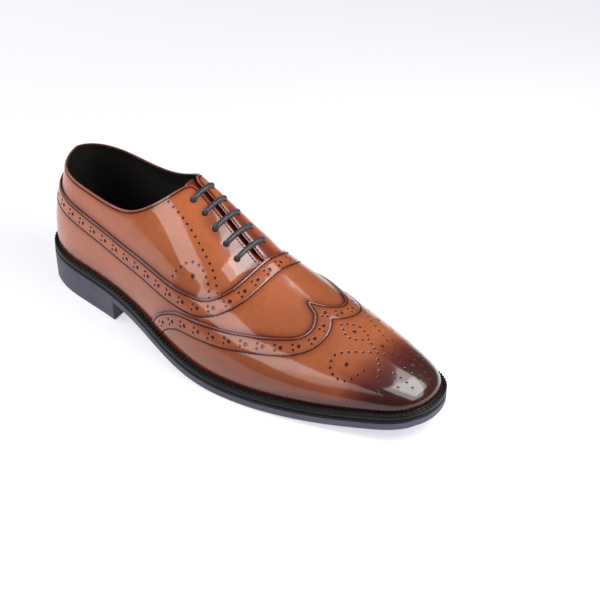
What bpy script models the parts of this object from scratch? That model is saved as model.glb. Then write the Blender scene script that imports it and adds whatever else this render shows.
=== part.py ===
"""A full-brogue dress shoe, right foot: sole unit, hollow upper with two overlays, tongue, insole and lace.

The shoe is drawn in millimetres from the back of the outsole (x = 0) to the toe, with +Y on the wearer's
left and the floor at z = 0. The finished objects are in metres, with the origin under the middle of the shoe.
"""

import math

import bmesh
import bpy
import numpy as np
from mathutils import Vector
from mathutils.geometry import delaunay_2d_cdt

MM = 0.001

# Driving dimensions, in millimetres
GAP = 0.3
FEATHER_HEIGHT = 11.2
OUTSOLE_THICKNESS = 7.5
WELT_MARGIN_BACK = 2.8
WELT_MARGIN_FORE = 4.3
WELT_INNER = 6.5
MARGIN_GROWS_FROM, MARGIN_GROWS_TO = 80.0, 160.0
HEEL_LENGTH = 78.5
HEEL_INSET = 0.7
HEEL_BREAST_HOLLOW = 3.5
FLOOR_CUT = 0.4

WALL = 1.6
RECESS = 1.1
OVERLAY_INNER = -0.75
VAMP_OUTER = 0.0
WING_OUTER = 0.8
OVERLAY_SPLIT = 0.35
RECESS_FADE_FROM, RECESS_FADE_TO = 2.0, 15.0
PAST_FEATHER, PAST_SEAM = 0.05, 2.0

EYELET_X = (125.6, 135.2, 144.8, 154.4, 164.0)
EYELET_OFF_CENTRE = 11.2
EYELET_RADIUS = 2.5
EYELET_SIDES = 10
LACE_RADIUS = 1.4
LACE_BEVEL = 1
LACE_CLEARANCE = 0.35

TONGUE_WALL = 1.8
TONGUE_DROP = 3.6
TONGUE_DROP_THROAT = 0.45
TONGUE_RISES_FROM, TONGUE_RISES_TO = 166.0, 174.0
INSOLE_THICKNESS = 3.0
INSOLE_INSET = 4.4

STATIONS = 46
CELL = 8.3
EDGE_STEP = 5.2

# The last, one row a section from heel to toe. Each column is the control polygon of a smooth curve.
# x, half width on the outer and inner side at the feather line, rise of the sole off the floor, height of
# the crown over the feather line, sideways place of the crown, then the shape of the section: how upright
# the wall is, how broad the top is, and how far the wall swells over the welt
SECTIONS = np.array([
    #  x      outer  inner  rise   crown  centre  upright broad  swell
    [2.6,     0.0,   0.0,   18.4,  71.0,  0.0,    0.49,   0.92,  0.00],
    [2.6,    17.0,  16.0,   16.9,  73.0,  0.0,    0.49,   0.91,  0.04],
    [20.0,   30.3,  29.5,   15.7,  77.0,  0.4,    0.49,   0.87,  0.05],
    [46.0,   33.3,  31.8,   15.7,  82.5,  0.7,    0.50,   0.74,  0.06],
    [75.0,   35.6,  29.9,   15.1,  88.5,  2.0,    0.46,   0.64,  0.05],
    [105.0,  40.3,  26.8,   11.1,  90.0,  3.0,    0.44,   0.61,  0.06],
    [135.0,  47.5,  30.1,   5.1,   81.5,  3.7,    0.46,   0.65,  0.09],
    [165.0,  51.9,  42.4,   0.6,   62.0,  4.1,    0.47,   0.63,  0.09],
    [195.0,  49.2,  49.5,   0.1,   49.0,  5.4,    0.47,   0.61,  0.08],
    [222.0,  43.1,  48.7,   1.2,   37.5,  5.6,    0.50,   0.61,  0.07],
    [249.0,  34.3,  44.3,   3.3,   28.6,  4.6,    0.54,   0.63,  0.05],
    [275.0,  23.9,  35.3,   6.9,   19.5,  3.8,    0.58,   0.67,  0.04],
    [301.0,  13.5,  23.6,   11.7,  9.5,   4.2,    0.60,   0.69,  0.03],
    [301.0,  -4.5,  4.5,    12.4,  0.0,   4.5,    0.60,   0.68,  0.00],
])
X, OUTER, INNER, RISE, CROWN, CENTRE, UPRIGHT, BROAD, SWELL = range(9)

# How far the back seam leans back or forward at five heights up the heel, and how far up that goes
BACK_LEAN = (0.0, -1.5, -1.0, 5.4, 8.9)
BACK_LEAN_HEIGHT = 62.0
BACK_LEAN_LENGTH = 75.0

# The top line seen from the side: x, height on the outer side, height on the inner side
TOPLINE = np.array([
    #  x      outer   inner
    [2.6,    91.0,   91.0],
    [2.6,    88.5,   90.0],
    [15.0,   85.0,   88.0],
    [35.0,   84.0,   85.0],
    [55.0,   82.5,   83.5],
    [75.0,   81.0,   85.5],
    [93.0,   84.5,   91.5],
    [108.0,  96.5,   100.5],
    [120.0,  108.0,  108.0],
])
CORNER_ROUNDING = 0.07

# Half the gap between the two facings, which part below the last eyelets
FACING = np.array([
    #  x      half gap
    [100.0,  1.3],
    [152.0,  1.3],
    [160.0,  1.8],
    [166.0,  4.5],
    [172.5,  9.5],
])

# The upper edge of the vamp and lower quarters, from the crown of the throat down and round to the back
# seam: x, and the share of the way up the wall on the outer and the inner side
BAND_EDGE = np.array([
    #  x      outer  inner
    [174.5,  1.000, 1.000],
    [174.3,  0.820, 0.840],
    [171.0,  0.640, 0.660],
    [161.5,  0.490, 0.500],
    [148.0,  0.410, 0.420],
    [126.0,  0.338, 0.345],
    [90.0,   0.294, 0.300],
    [60.0,   0.316, 0.320],
    [34.0,   0.368, 0.370],
    [16.0,   0.418, 0.420],
    [2.6,    0.480, 0.480],
])

# The upper edge of the wing cap, from its peak on the crown round the lobes and back to the welt
WING_EDGE = np.array([
    #  x      outer  inner
    [209.0,  1.000, 1.000],
    [217.5,  0.905, 0.915],
    [222.5,  0.790, 0.800],
    [220.0,  0.665, 0.680],
    [208.0,  0.555, 0.580],
    [186.0,  0.435, 0.460],
    [162.0,  0.335, 0.350],
    [144.0,  0.256, 0.265],
    [131.0,  0.165, 0.170],
    [122.0,  0.000, 0.000],
])

# The tongue: x, and half its width measured round the section
TONGUE_SHAPE = np.array([
    #  x      half width
    [104.0,  13.0],
    [107.0,  19.0],
    [113.0,  23.0],
    [150.0,  19.0],
    [183.0,  16.0],
])

# The edge of the outsole from the tread up, with its rounded arrises and the stitch groove: inset, height
OUTSOLE_EDGE = (
    (0.9, 0.0),
    (0.0, 0.9),
    (0.0, 4.9),
    (0.5, 5.2),
    (0.0, 5.5),
    (0.0, OUTSOLE_THICKNESS - GAP - 0.4),
    (0.4, OUTSOLE_THICKNESS - GAP),
)

# The side of the heel block from the floor up: inset from its widest, whether it follows the sole, height
HEEL_EDGE = (
    (1.0, 0, 0.0),
    (0.4, 0, 0.6),
    (0.0, 1, -GAP),
)

# One lace bar, from eyelet to eyelet: share of the way out to the eyelet, and height over the last as a
# share of the way from the leather up to the top of the bar
LACE_BAR = (
    (-1.00, -0.57),
    (-0.97, 0.17),
    (-0.87, 0.91),
    (-0.71, 1.00),
    (0.00, 0.97),
    (0.71, 1.00),
    (0.87, 0.91),
    (0.97, 0.17),
    (1.00, -0.57),
)
# The link from one bar to the next under the facing: how far along from the nearer eyelet, and how far
# over the lowest part of the link
LACE_LINK = (
    (0.8, 0.7),
    (2.6, 0.0),
)

COLOURS = {
    "leather": ((0.36, 0.12, 0.04, 1), 0.25),
    "sole": ((0.045, 0.045, 0.052, 1), 0.6),
    "lining": ((0.02, 0.02, 0.02, 1), 0.7),
    "cord": ((0.03, 0.03, 0.035, 1), 0.6),
}


def basis(rows, u):
    """Weights of a clamped uniform cubic curve with this many control rows, at each u from 0 to 1."""
    u = np.clip(np.atleast_1d(np.asarray(u, float)), 0.0, 1.0 - 1e-9)
    knots = np.concatenate([[0.0] * 3, np.linspace(0, 1, rows - 2), [1.0] * 3])
    weights = np.array([(knots[i] <= u) & (u < knots[i + 1]) for i in range(len(knots) - 1)], float)
    for degree in (1, 2, 3):
        raised = []
        for i in range(len(weights) - 1):
            span_left = knots[i + degree] - knots[i]
            span_right = knots[i + degree + 1] - knots[i + 1]
            left = (u - knots[i]) / span_left * weights[i] if span_left > 0 else 0 * u
            right = (knots[i + degree + 1] - u) / span_right * weights[i + 1] if span_right > 0 else 0 * u
            raised.append(left + right)
        weights = np.array(raised)
    return np.moveaxis(weights, 0, -1)


def through(points, steps):
    """A smooth curve through the points, with this many steps between each two."""
    points = np.asarray(points, float)
    padded = np.vstack([2 * points[0] - points[1], points, 2 * points[-1] - points[-2]])
    share = np.linspace(0, 1, steps, endpoint=False)[:, None]
    spans = []
    for before, start, end, after in zip(padded, padded[1:], padded[2:], padded[3:]):
        spans.append(0.5 * (2 * start + (end - before) * share
                            + (2 * before - 5 * start + 4 * end - after) * share ** 2
                            + (3 * start - before - 3 * end + after) * share ** 3))
    return np.vstack(spans + [points[-1:]])


def column(name, u):
    return basis(len(SECTIONS), u) @ SECTIONS[:, name]


def rise(u):
    """Height of the outsole's underside, with the heel seat and the flat tread under the ball."""
    return np.maximum(column(RISE, u) - FLOOR_CUT, 0.0)


U_FINE = np.linspace(0, 1, 1201)
X_FINE = column(X, U_FINE)


def u_at(x):
    return np.interp(x, X_FINE, U_FINE)


def rise_at(x):
    return rise(u_at(x))


def surface(u, t, side):
    """Points of the last. t runs from the feather line to the crown. side is -1 outside and 1 inside."""
    u, t = np.broadcast_arrays(np.atleast_1d(u).astype(float), t)
    t = t.astype(float)
    side = np.broadcast_to(side, u.shape)
    foot = rise(u) + FEATHER_HEIGHT
    crown, centre = column(CROWN, u), column(CENTRE, u)
    width = np.where(side < 0, -column(OUTER, u), column(INNER, u)) - centre
    upright, broad, swell = column(UPRIGHT, u), column(BROAD, u), column(SWELL, u)
    low, mid, high = (1 - t) ** 3, 3 * (1 - t) ** 2 * t, 3 * (1 - t) * t ** 2
    up = crown * (mid * upright + high + t ** 3)
    out = centre + width * (low + mid * (1 + swell) + high * broad)
    share = np.clip(up / BACK_LEAN_HEIGHT, 0, 1.25)
    lean = sum(math.comb(4, k) * (1 - share) ** (4 - k) * share ** k * BACK_LEAN[k] for k in range(5))
    x = column(X, u)
    fade = np.clip(1 - (x - SECTIONS[0, X]) / BACK_LEAN_LENGTH, 0, 1) ** 2
    return np.stack([x + lean * fade, out, foot + up], -1)


def normals(u, t, side):
    """Outward unit normals of the last."""
    step = 1e-3
    u = np.clip(u, step, 1 - 2 * step)
    t = np.clip(t, 0, 1)
    t_low, t_high = np.maximum(t - step, 0), np.minimum(t + step, 1)
    along = surface(u + step, t, side) - surface(u - step, t, side)
    up = surface(u, t_high, side) - surface(u, t_low, side)
    cross = np.cross(along, up) * -np.broadcast_to(side, u.shape)[..., None]
    return cross / np.linalg.norm(cross, axis=-1, keepdims=True)


# The unrolled upper: distance along the shoe, and distance round the section from the crown, negative
# on the outer side. The toe is the point where both sides end.
def make_unrolled():
    levels = np.linspace(0, 1, 41)
    run = np.zeros(len(U_FINE))
    girth = {}
    for side in (-1, 1):
        line = surface(U_FINE, 0.4, side)
        run += 0.5 * np.concatenate([[0], np.cumsum(np.linalg.norm(np.diff(line, axis=0), axis=1))])
        rows = surface(U_FINE[:, None], levels[None, :], side)
        girth[side] = np.linalg.norm(np.diff(rows, axis=1), axis=-1).sum(axis=1)
    return run, girth


RUN, GIRTH = make_unrolled()


def to_flat(u, t, side):
    """(u, t, side) to unrolled coordinates."""
    u, t = np.broadcast_arrays(np.atleast_1d(u).astype(float), t)
    return np.stack([np.interp(u, U_FINE, RUN), side * (1 - t) * np.interp(u, U_FINE, GIRTH[side])], -1)


def from_flat(flat):
    """Unrolled coordinates to (u, t, side)."""
    flat = np.asarray(flat, float)
    u = np.interp(flat[:, 0], RUN, U_FINE)
    side = np.where(flat[:, 1] < 0, -1, 1)
    girth = np.where(side < 0, np.interp(u, U_FINE, GIRTH[-1]), np.interp(u, U_FINE, GIRTH[1]))
    t = 1 - np.abs(flat[:, 1]) / np.maximum(girth, 1e-6)
    return u, np.clip(t, 0, 1), side


def share_where(u, side, value, target):
    """The t at which value(point) first reaches the target, going up each section."""
    low, high = np.zeros(len(u)), np.ones(len(u))
    for _ in range(30):
        middle = (low + high) / 2
        below = value(surface(u, middle, side)) < target
        low, high = np.where(below, middle, low), np.where(below, high, middle)
    return (low + high) / 2


def opening_edge(u, side):
    """The t where the upper ends at the top line and the facing."""
    count = len(TOPLINE)
    line = basis(count, np.linspace(0, 1, 200)) @ TOPLINE
    x = column(X, u)
    height = np.interp(x, line[:, 0], line[:, 1 if side < 0 else 2])
    height = np.where(x > TOPLINE[-1, 0] - 0.01, 400.0, height)
    at_top = share_where(u, side, lambda p: p[:, 2], height)
    half_gap = np.interp(x, FACING[:, 0], FACING[:, 1])
    centre = column(CENTRE, u)
    at_facing = share_where(u, side, lambda p: -np.abs(p[:, 1] - centre), -half_gap)
    at_facing = np.where(x < FACING[0, 0], 2.0, at_facing)
    near = np.maximum(CORNER_ROUNDING - np.abs(at_top - at_facing), 0) / CORNER_ROUNDING
    return np.minimum(at_top, at_facing) - near ** 2 * CORNER_ROUNDING / 4


def resample(line, step):
    """The polyline with its ends kept and its points about one step apart."""
    line = np.asarray(line, float)
    length = np.concatenate([[0], np.cumsum(np.linalg.norm(np.diff(line, axis=0), axis=1))])
    count = max(2, int(round(length[-1] / step)) + 1)
    wanted = np.linspace(0, length[-1], count)
    return np.stack([np.interp(wanted, length, line[:, k]) for k in (0, 1)], -1)


def pattern_edge(table, side):
    """A pattern table as a line in unrolled coordinates, from the crown outwards."""
    line = through(table[:, [0, 1 if side < 0 else 2]], 8)
    return to_flat(u_at(line[:, 0]), np.clip(line[:, 1], 0, 1), side)


def feather_edge(side, u_from=0.0):
    u = np.linspace(u_from, 1, 240)
    return to_flat(u, 0.0, side)


def throat_u():
    return float(u_at(FACING[-1, 0]))


def upper_outline():
    """The boundary of the unrolled upper, once round, and the t values of the back seam."""
    seam_top = float(opening_edge(np.array([0.0]), -1)[0])
    seam = np.linspace(0, seam_top, 11)
    sides = {}
    for side in (-1, 1):
        u = np.concatenate([np.linspace(0, 0.3, 80), np.linspace(0.302, throat_u(), 160)])
        sides[side] = resample(to_flat(u, opening_edge(u, side), side), EDGE_STEP)
    feather = {side: resample(feather_edge(side), EDGE_STEP) for side in (-1, 1)}
    outline = np.vstack([
        feather[-1],
        feather[1][::-1][1:],
        to_flat(0.0, seam, 1)[1:-1],
        sides[1],
        throat_front(sides),
        sides[-1][::-1],
        to_flat(0.0, seam, -1)[::-1][1:-1],
    ])
    return outline


def throat_front(sides):
    """The front end of the opening, just under the vamp's edge."""
    right, left = sides[1][-1], sides[-1][-1]
    share = np.linspace(0, 1, 5)[1:-1, None]
    return right + (left - right) * share + np.array([0.8, 0]) * np.sin(np.pi * share)


def eyelet_loops():
    """The eyelet holes in unrolled coordinates."""
    angles = np.linspace(0, 2 * math.pi, EYELET_SIDES, endpoint=False)
    loops = []
    for side in (-1, 1):
        for x in EYELET_X:
            centre = flat_at_girth(x, side * EYELET_OFF_CENTRE)
            loops.append(centre + EYELET_RADIUS * local_scale(centre) * np.stack(
                [np.cos(angles), np.sin(angles)], -1))
    return loops


def flat_at_girth(x, off_centre):
    """The unrolled place at this x, this real distance round the section from the crown."""
    side = -1 if off_centre < 0 else 1
    t = np.linspace(1, 0.3, 200)
    line = surface(np.full(200, u_at(x)), t, side)
    length = np.concatenate([[0], np.cumsum(np.linalg.norm(np.diff(line, axis=0), axis=1))])
    return to_flat(u_at(x), np.interp(abs(off_centre), length, t), side)[0]


def local_scale(flat):
    """Unrolled millimetres per real millimetre at a place, along and across."""
    step = 0.5
    places = np.array([flat, flat + [step, 0], flat, flat + [0, step]])
    u, t, side = from_flat(places)
    real = surface(u, t, side)
    return np.array([step / np.linalg.norm(real[1] - real[0]), step / np.linalg.norm(real[3] - real[2])])


def inside(points, loop):
    """Whether each point lies inside the loop."""
    x, y = points[:, 0][:, None], points[:, 1][:, None]
    ax, ay = loop[:, 0][None], loop[:, 1][None]
    bx, by = np.roll(loop[:, 0], -1)[None], np.roll(loop[:, 1], -1)[None]
    crosses = (ay > y) != (by > y)
    with np.errstate(divide="ignore", invalid="ignore"):
        at = ax + (y - ay) / (by - ay) * (bx - ax)
    return (crosses & (x < at)).sum(axis=1) % 2 == 1


def distance_to(points, line):
    """Distance from each point to an open polyline."""
    start, run = line[:-1], np.diff(line, axis=0)
    offset = points[:, None] - start[None]
    share = np.clip((offset * run).sum(-1) / np.maximum((run ** 2).sum(-1), 1e-12), 0, 1)
    return np.linalg.norm(offset - share[..., None] * run, axis=-1).min(axis=1)


def triangulate(outline, holes, lines, cell):
    """Triangles of the region inside the outline, with the lines kept as edges and the holes left out."""
    points, edges = [], []
    for loop in [outline] + holes:
        start = len(points)
        points += list(loop)
        count = len(loop)
        edges += [(start + k, start + (k + 1) % count) for k in range(count)]
    for line in lines:
        start = len(points)
        points += list(line)
        edges += [(start + k, start + k + 1) for k in range(len(line) - 1)]
    low, high = outline.min(axis=0), outline.max(axis=0)
    across = np.arange(low[1] + cell / 3, high[1], cell * math.sqrt(3) / 2)
    grid = []
    for row, y in enumerate(across):
        for x in np.arange(low[0] + (row % 2) * cell / 2, high[0], cell):
            grid.append((x, y))
    grid = np.array(grid)
    keep = inside(grid, outline)
    for loop in [outline] + holes:
        keep &= distance_to(grid, np.vstack([loop, loop[:1]])) > 0.55 * cell
    for line in lines:
        keep &= distance_to(grid, line) > 0.5 * cell
    points += list(grid[keep])
    places, _, faces, _, _, _ = delaunay_2d_cdt([Vector(p) for p in points], edges, [], 0, 1e-4)
    places = np.array([tuple(p) for p in places])
    faces = np.array([f for f in faces])
    middles = places[faces].mean(axis=1)
    keep = inside(middles, outline)
    for loop in holes:
        keep &= ~inside(middles, loop)
    return places, faces[keep]


def recess(flat, band_line, wing_flat):
    """How far the inner layer stays under the surface: full under the overlays, none at the top line."""
    above = distance_to(flat, band_line)
    under = inside(flat, wing_flat)
    share = np.clip((above - RECESS_FADE_FROM) / (RECESS_FADE_TO - RECESS_FADE_FROM), 0, 1)
    share = share * share * (3 - 2 * share)
    return np.where(under, 1.0, 1 - share) * RECESS


def thick_solid(name, flat, faces, outer, inner, material):
    """A closed wall over the triangles, from one offset of the last's surface to another."""
    u, t, side = from_flat(flat)
    base = surface(u, t, side)
    out = normals(u, t, side)
    floor = rise(u) + FEATHER_HEIGHT
    _, first, weld = np.unique(np.round(base, 3), axis=0, return_index=True, return_inverse=True)
    weld = weld.reshape(-1)
    faces = weld[faces]
    real = (faces[:, 0] != faces[:, 1]) & (faces[:, 1] != faces[:, 2]) & (faces[:, 0] != faces[:, 2])
    faces = faces[real]
    rings = []
    for offset in (outer, inner):
        points = base + out * np.broadcast_to(offset, len(base))[:, None]
        points[:, 2] = np.maximum(points[:, 2], floor)
        rings.append(points[first])
    count = len(first)
    used = {}
    for a, b, c in faces:
        for edge in ((a, b), (b, c), (c, a)):
            used[edge] = used.get(edge, 0) + 1
    walls = [(b, a, a + count, b + count) for (a, b) in used if (b, a) not in used]
    polygons = [tuple(f) for f in faces] + [tuple(reversed(f + count)) for f in faces] + walls
    return add_object(name, np.vstack(rings), polygons, material)


def add_object(name, points, polygons, material):
    """A mesh object from points in shoe millimetres."""
    mesh = bpy.data.meshes.new(name)
    moved = (np.asarray(points, float) - ORIGIN) * MM
    mesh.from_pydata([tuple(p) for p in moved], [], [tuple(int(k) for k in f) for f in polygons])
    work = bmesh.new()
    work.from_mesh(mesh)
    bmesh.ops.remove_doubles(work, verts=work.verts, dist=1e-6)
    bmesh.ops.dissolve_degenerate(work, edges=work.edges, dist=1e-6)
    loose = [v for v in work.verts if not v.link_faces]
    bmesh.ops.delete(work, geom=loose, context="VERTS")
    bmesh.ops.recalc_face_normals(work, faces=work.faces)
    if work.calc_volume(signed=True) < 0:
        bmesh.ops.reverse_faces(work, faces=work.faces)
    bmesh.ops.triangulate(work, faces=work.faces)
    work.to_mesh(mesh)
    work.free()
    mesh.shade_smooth()
    mesh.set_sharp_from_angle(angle=math.radians(40))
    mesh.materials.append(material)
    obj = bpy.data.objects.new(name, mesh)
    bpy.context.scene.collection.objects.link(obj)
    return obj


def plan_edge(side, beyond, u):
    """The feather line in plan at the stations, moved outwards by this much."""
    def line(at):
        return np.stack([column(X, at), -column(OUTER, at) if side < 0 else column(INNER, at)], -1)

    run = line(np.minimum(u + 1e-4, 1)) - line(np.maximum(u - 1e-4, 0))
    out = side * np.stack([-run[:, 1], run[:, 0]], -1)
    out /= np.linalg.norm(out, axis=1, keepdims=True)
    out[u < 1e-6] = (-1, 0)
    out[u > 1 - 1e-6] = (1, 0)
    return line(u) + out * beyond[:, None]


def welt_margin(u):
    """How far the sole stands out past the feather line."""
    share = np.clip((column(X, u) - MARGIN_GROWS_FROM) / (MARGIN_GROWS_TO - MARGIN_GROWS_FROM), 0, 1)
    share = share * share * (3 - 2 * share)
    return WELT_MARGIN_BACK + (WELT_MARGIN_FORE - WELT_MARGIN_BACK) * share


def sole_loop(inset, u):
    """Outer and inner edge of the sole at the stations, this far inside the welt's edge."""
    beyond = welt_margin(u) - inset
    return plan_edge(-1, beyond, u), plan_edge(1, beyond, u)


def feather_loop(inset, u):
    """Outer and inner edge at the stations, this far inside the feather line."""
    beyond = np.full(len(u), -inset)
    return plan_edge(-1, beyond, u), plan_edge(1, beyond, u)


def stations(u_to=1.0):
    """Station parameters, closer together at the heel and the toe."""
    even = np.linspace(0, 1, STATIONS)
    return u_to * (0.75 * even + 0.25 * (0.5 - 0.5 * np.cos(np.pi * even)))


def layered_solid(name, levels, cross, material, hollow=0.0):
    """A plate built up from levels: outer edge, inner edge, whether it follows the sole, and height."""
    share = np.linspace(0, 1, cross + 1)
    count = len(levels[0][0])
    grids = []
    for outer, inner, follows, height in levels:
        flat = outer[:, None] * (1 - share)[None, :, None] + inner[:, None] * share[None, :, None]
        bow = hollow * (1 - (2 * share - 1) ** 2)[None] * np.linspace(0, 1, count)[:, None] ** 4
        flat = flat - np.stack([bow, 0 * bow], -1)
        tall = follows * rise_at(flat[..., 0]) + height
        grids.append(np.concatenate([flat, tall[..., None]], -1))
    size = count * (cross + 1)
    index = np.arange(size).reshape(count, cross + 1)
    rim = list(index[:, 0]) + list(index[-1, 1:]) + list(index[:-1, -1][::-1]) + list(index[0, 1:-1][::-1])
    polygons = []
    for i in range(count - 1):
        for j in range(cross):
            quad = (index[i, j], index[i + 1, j], index[i + 1, j + 1], index[i, j + 1])
            polygons.append(tuple(reversed(quad)))
            polygons.append(tuple(k + size * (len(levels) - 1) for k in quad))
    for level in range(len(levels) - 1):
        low, high = level * size, (level + 1) * size
        for a, b in zip(rim, rim[1:] + rim[:1]):
            polygons.append((a + low, b + low, b + high, a + high))
    return add_object(name, np.vstack([g.reshape(-1, 3) for g in grids]), polygons, material)


def outsole(material):
    """The outsole, with rounded arrises and a groove round its edge."""
    u = stations()
    levels = [sole_loop(inset, u) + (1, height) for inset, height in OUTSOLE_EDGE]
    return layered_solid("outsole", levels, 2, material)


def heel(material):
    """The heel block, with its hollowed breast."""
    u = stations(float(u_at(HEEL_LENGTH)))[::2]
    levels = [sole_loop(HEEL_INSET + inset, u) + (follows, height) for inset, follows, height in HEEL_EDGE]
    return layered_solid("heel_block", levels, 6, material, HEEL_BREAST_HOLLOW)


def welt(material):
    """The welt, a ring that the upper stands on."""
    u = stations()
    low = OUTSOLE_THICKNESS
    high = FEATHER_HEIGHT - GAP
    corners = [
        sole_loop(0.5, u) + (low,),
        sole_loop(0.0, u) + (low + 0.6,),
        sole_loop(0.0, u) + (high - 0.8,),
        sole_loop(0.8, u) + (high,),
        feather_loop(WELT_INNER, u) + (high,),
        feather_loop(WELT_INNER, u) + (low,),
    ]
    rings = []
    for outer, inner, height in corners:
        loop = np.vstack([outer, inner[::-1][1:-1]])
        rings.append(np.column_stack([loop, rise_at(loop[:, 0]) + height]))
    count = len(rings[0])
    polygons = []
    for ring in range(len(rings)):
        here, following = ring * count, (ring + 1) % len(rings) * count
        for k in range(count):
            ahead = (k + 1) % count
            polygons.append((here + k, here + ahead, following + ahead, following + k))
    return add_object("welt", np.vstack(rings), polygons, material)


def insole(material):
    """The insole, lying on the welt inside the wall of the upper."""
    u = stations()
    edge = feather_loop(INSOLE_INSET, u)
    levels = [edge + (1, FEATHER_HEIGHT), edge + (1, FEATHER_HEIGHT + INSOLE_THICKNESS)]
    return layered_solid("insole", levels, 2, material)


def region_below(edge):
    """A loop round all between a pattern edge and the toe, a little past the feather line and back seam."""
    lateral, medial = edge[-1], edge[1]
    start_l, start_m = float(from_flat(lateral[-1:])[0][0]), float(from_flat(medial[-1:])[0][0])
    sweep_l, sweep_m = np.linspace(start_l, 1, 240), np.linspace(start_m, 1, 240)
    beyond_l = to_flat(sweep_l, -PAST_FEATHER, -1)
    beyond_m = to_flat(sweep_m, -PAST_FEATHER, 1)
    if start_l < 1e-6:
        behind = np.array([PAST_SEAM, 0])
        beyond_l = np.vstack([lateral[-1:] - behind, beyond_l[:1] - behind, beyond_l])
        beyond_m = np.vstack([medial[-1:] - behind, beyond_m[:1] - behind, beyond_m])
    return np.vstack([lateral, beyond_l, beyond_m[::-1], medial[::-1][:-1]])


def upper_and_overlays(materials):
    """The upper as one hollow wall, and the vamp and the wing cap over it, all on the same triangles."""
    band = {side: pattern_edge(BAND_EDGE, side) for side in (-1, 1)}
    wing = {side: pattern_edge(WING_EDGE, side) for side in (-1, 1)}
    band_line = resample(np.vstack([band[-1][::-1], band[1][1:]]), EDGE_STEP)
    wing_line = resample(np.vstack([wing[-1][::-1], wing[1][1:]]), EDGE_STEP)
    wing_line[[0, -1]] = wing[-1][-1], wing[1][-1]
    below_band, below_wing = region_below(band), region_below(wing)
    flat, faces = triangulate(upper_outline(), eyelet_loops(), [band_line, wing_line], CELL)

    full = np.vstack([band[-1][::-1], band[1][1:]])
    low = -recess(flat, full, below_band)
    thick_solid("upper", flat, faces, low, low - WALL, materials["leather"])

    middles = flat[faces].mean(axis=1)
    in_wing = inside(middles, below_wing)
    in_vamp = inside(middles, below_band) & ~in_wing
    seam = np.vstack([wing[-1][::-1], wing[1][1:]])
    vamp_flat = flat.copy()
    vamp_flat[distance_to(flat, seam) < GAP, 0] -= OVERLAY_SPLIT
    thick_solid("vamp_and_lower_quarters", vamp_flat, faces[in_vamp], VAMP_OUTER, OVERLAY_INNER,
                materials["leather"])
    thick_solid("wing_cap", flat, faces[in_wing], WING_OUTER, OVERLAY_INNER, materials["leather"])


def tongue(material):
    """The tongue, hung under the vamp's edge and lying below the lace."""
    x = np.linspace(TONGUE_SHAPE[0, 0], TONGUE_SHAPE[-1, 0], 40)
    edges = {}
    for side in (-1, 1):
        reach = np.interp(x, TONGUE_SHAPE[:, 0], TONGUE_SHAPE[:, 1])
        edges[side] = resample(np.array([flat_at_girth(a, side * b) for a, b in zip(x, reach)]), EDGE_STEP)
    outline = np.vstack([edges[-1], edges[1][::-1]])
    flat, faces = triangulate(outline, [], [], CELL)
    along = column(X, from_flat(flat)[0])
    share = np.clip((along - TONGUE_RISES_FROM) / (TONGUE_RISES_TO - TONGUE_RISES_FROM), 0, 1)
    share = share * share * (3 - 2 * share)
    under = TONGUE_DROP + (TONGUE_DROP_THROAT + RECESS - TONGUE_DROP) * share
    top = -(WALL + under)
    thick_solid("tongue", flat, faces, top, top - TONGUE_WALL, material)


def lace_point(x, off_centre, offset):
    """A place over the last's surface, from its x, its distance round from the crown and its height."""
    flat = flat_at_girth(x, off_centre)[None]
    u, t, side = from_flat(flat)
    return surface(u, t, side)[0] + offset * normals(u, t, side)[0]


def lace_path():
    """Five bars over the facings, joined by short links under them."""
    over = LACE_RADIUS + LACE_CLEARANCE
    under = -(WALL + GAP + LACE_RADIUS)
    from_toe = EYELET_X[::-1]
    points = []
    for row, x in enumerate(from_toe):
        reach = EYELET_OFF_CENTRE if row % 2 == 0 else -EYELET_OFF_CENTRE
        points += [(x, reach * share, over * height) for share, height in LACE_BAR]
        if row < len(from_toe) - 1:
            following = from_toe[row + 1]
            points += [(x - along, reach, under + height) for along, height in LACE_LINK]
            points += [(following + along, reach, under + height) for along, height in LACE_LINK[::-1]]
    return np.array([lace_point(*p) for p in points])


def lace(material):
    """The lace as one tube."""
    points = through(lace_path(), 2)
    curve = bpy.data.curves.new("lace", "CURVE")
    curve.dimensions = "3D"
    curve.bevel_depth = LACE_RADIUS * MM
    curve.bevel_resolution = LACE_BEVEL
    curve.use_fill_caps = True
    spline = curve.splines.new("POLY")
    spline.points.add(len(points) - 1)
    for node, place in zip(spline.points, (points - ORIGIN) * MM):
        node.co = (*place, 1.0)
    curve.materials.append(material)
    obj = bpy.data.objects.new("lace", curve)
    bpy.context.scene.collection.objects.link(obj)


def sole_origin():
    """The middle of the sole's box, which is the shoe's own box in plan."""
    outer, inner = sole_loop(0.0, stations())
    both = np.vstack([outer, inner])
    middle = (both.min(axis=0) + both.max(axis=0)) / 2
    return np.array([middle[0], middle[1], 0.0])


def material(name):
    colour, roughness = COLOURS[name]
    made = bpy.data.materials.new(name)
    made.use_nodes = True
    shader = made.node_tree.nodes["Principled BSDF"]
    shader.inputs["Base Color"].default_value = colour
    shader.inputs["Roughness"].default_value = roughness
    return made


def clear_scene():
    for obj in list(bpy.data.objects):
        bpy.data.objects.remove(obj)


ORIGIN = sole_origin()


def main():
    clear_scene()
    materials = {name: material(name) for name in COLOURS}
    outsole(materials["sole"])
    heel(materials["sole"])
    welt(materials["sole"])
    insole(materials["lining"])
    upper_and_overlays(materials)
    tongue(materials["leather"])
    lace(materials["cord"])


main()
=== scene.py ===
"""The looks of a full-brogue dress shoe, right foot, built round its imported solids.

Everything is drawn in shoe millimetres from the back of the outsole (x = 0) to the toe, with +Y on the
wearer's left and the floor at z = 0, as the solids are, and is moved to the frame when a mesh is made.
The leather is cut flat first: every panel, seam and hole is laid out on the unrolled upper, and then put
on the last.
"""

import math

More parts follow.
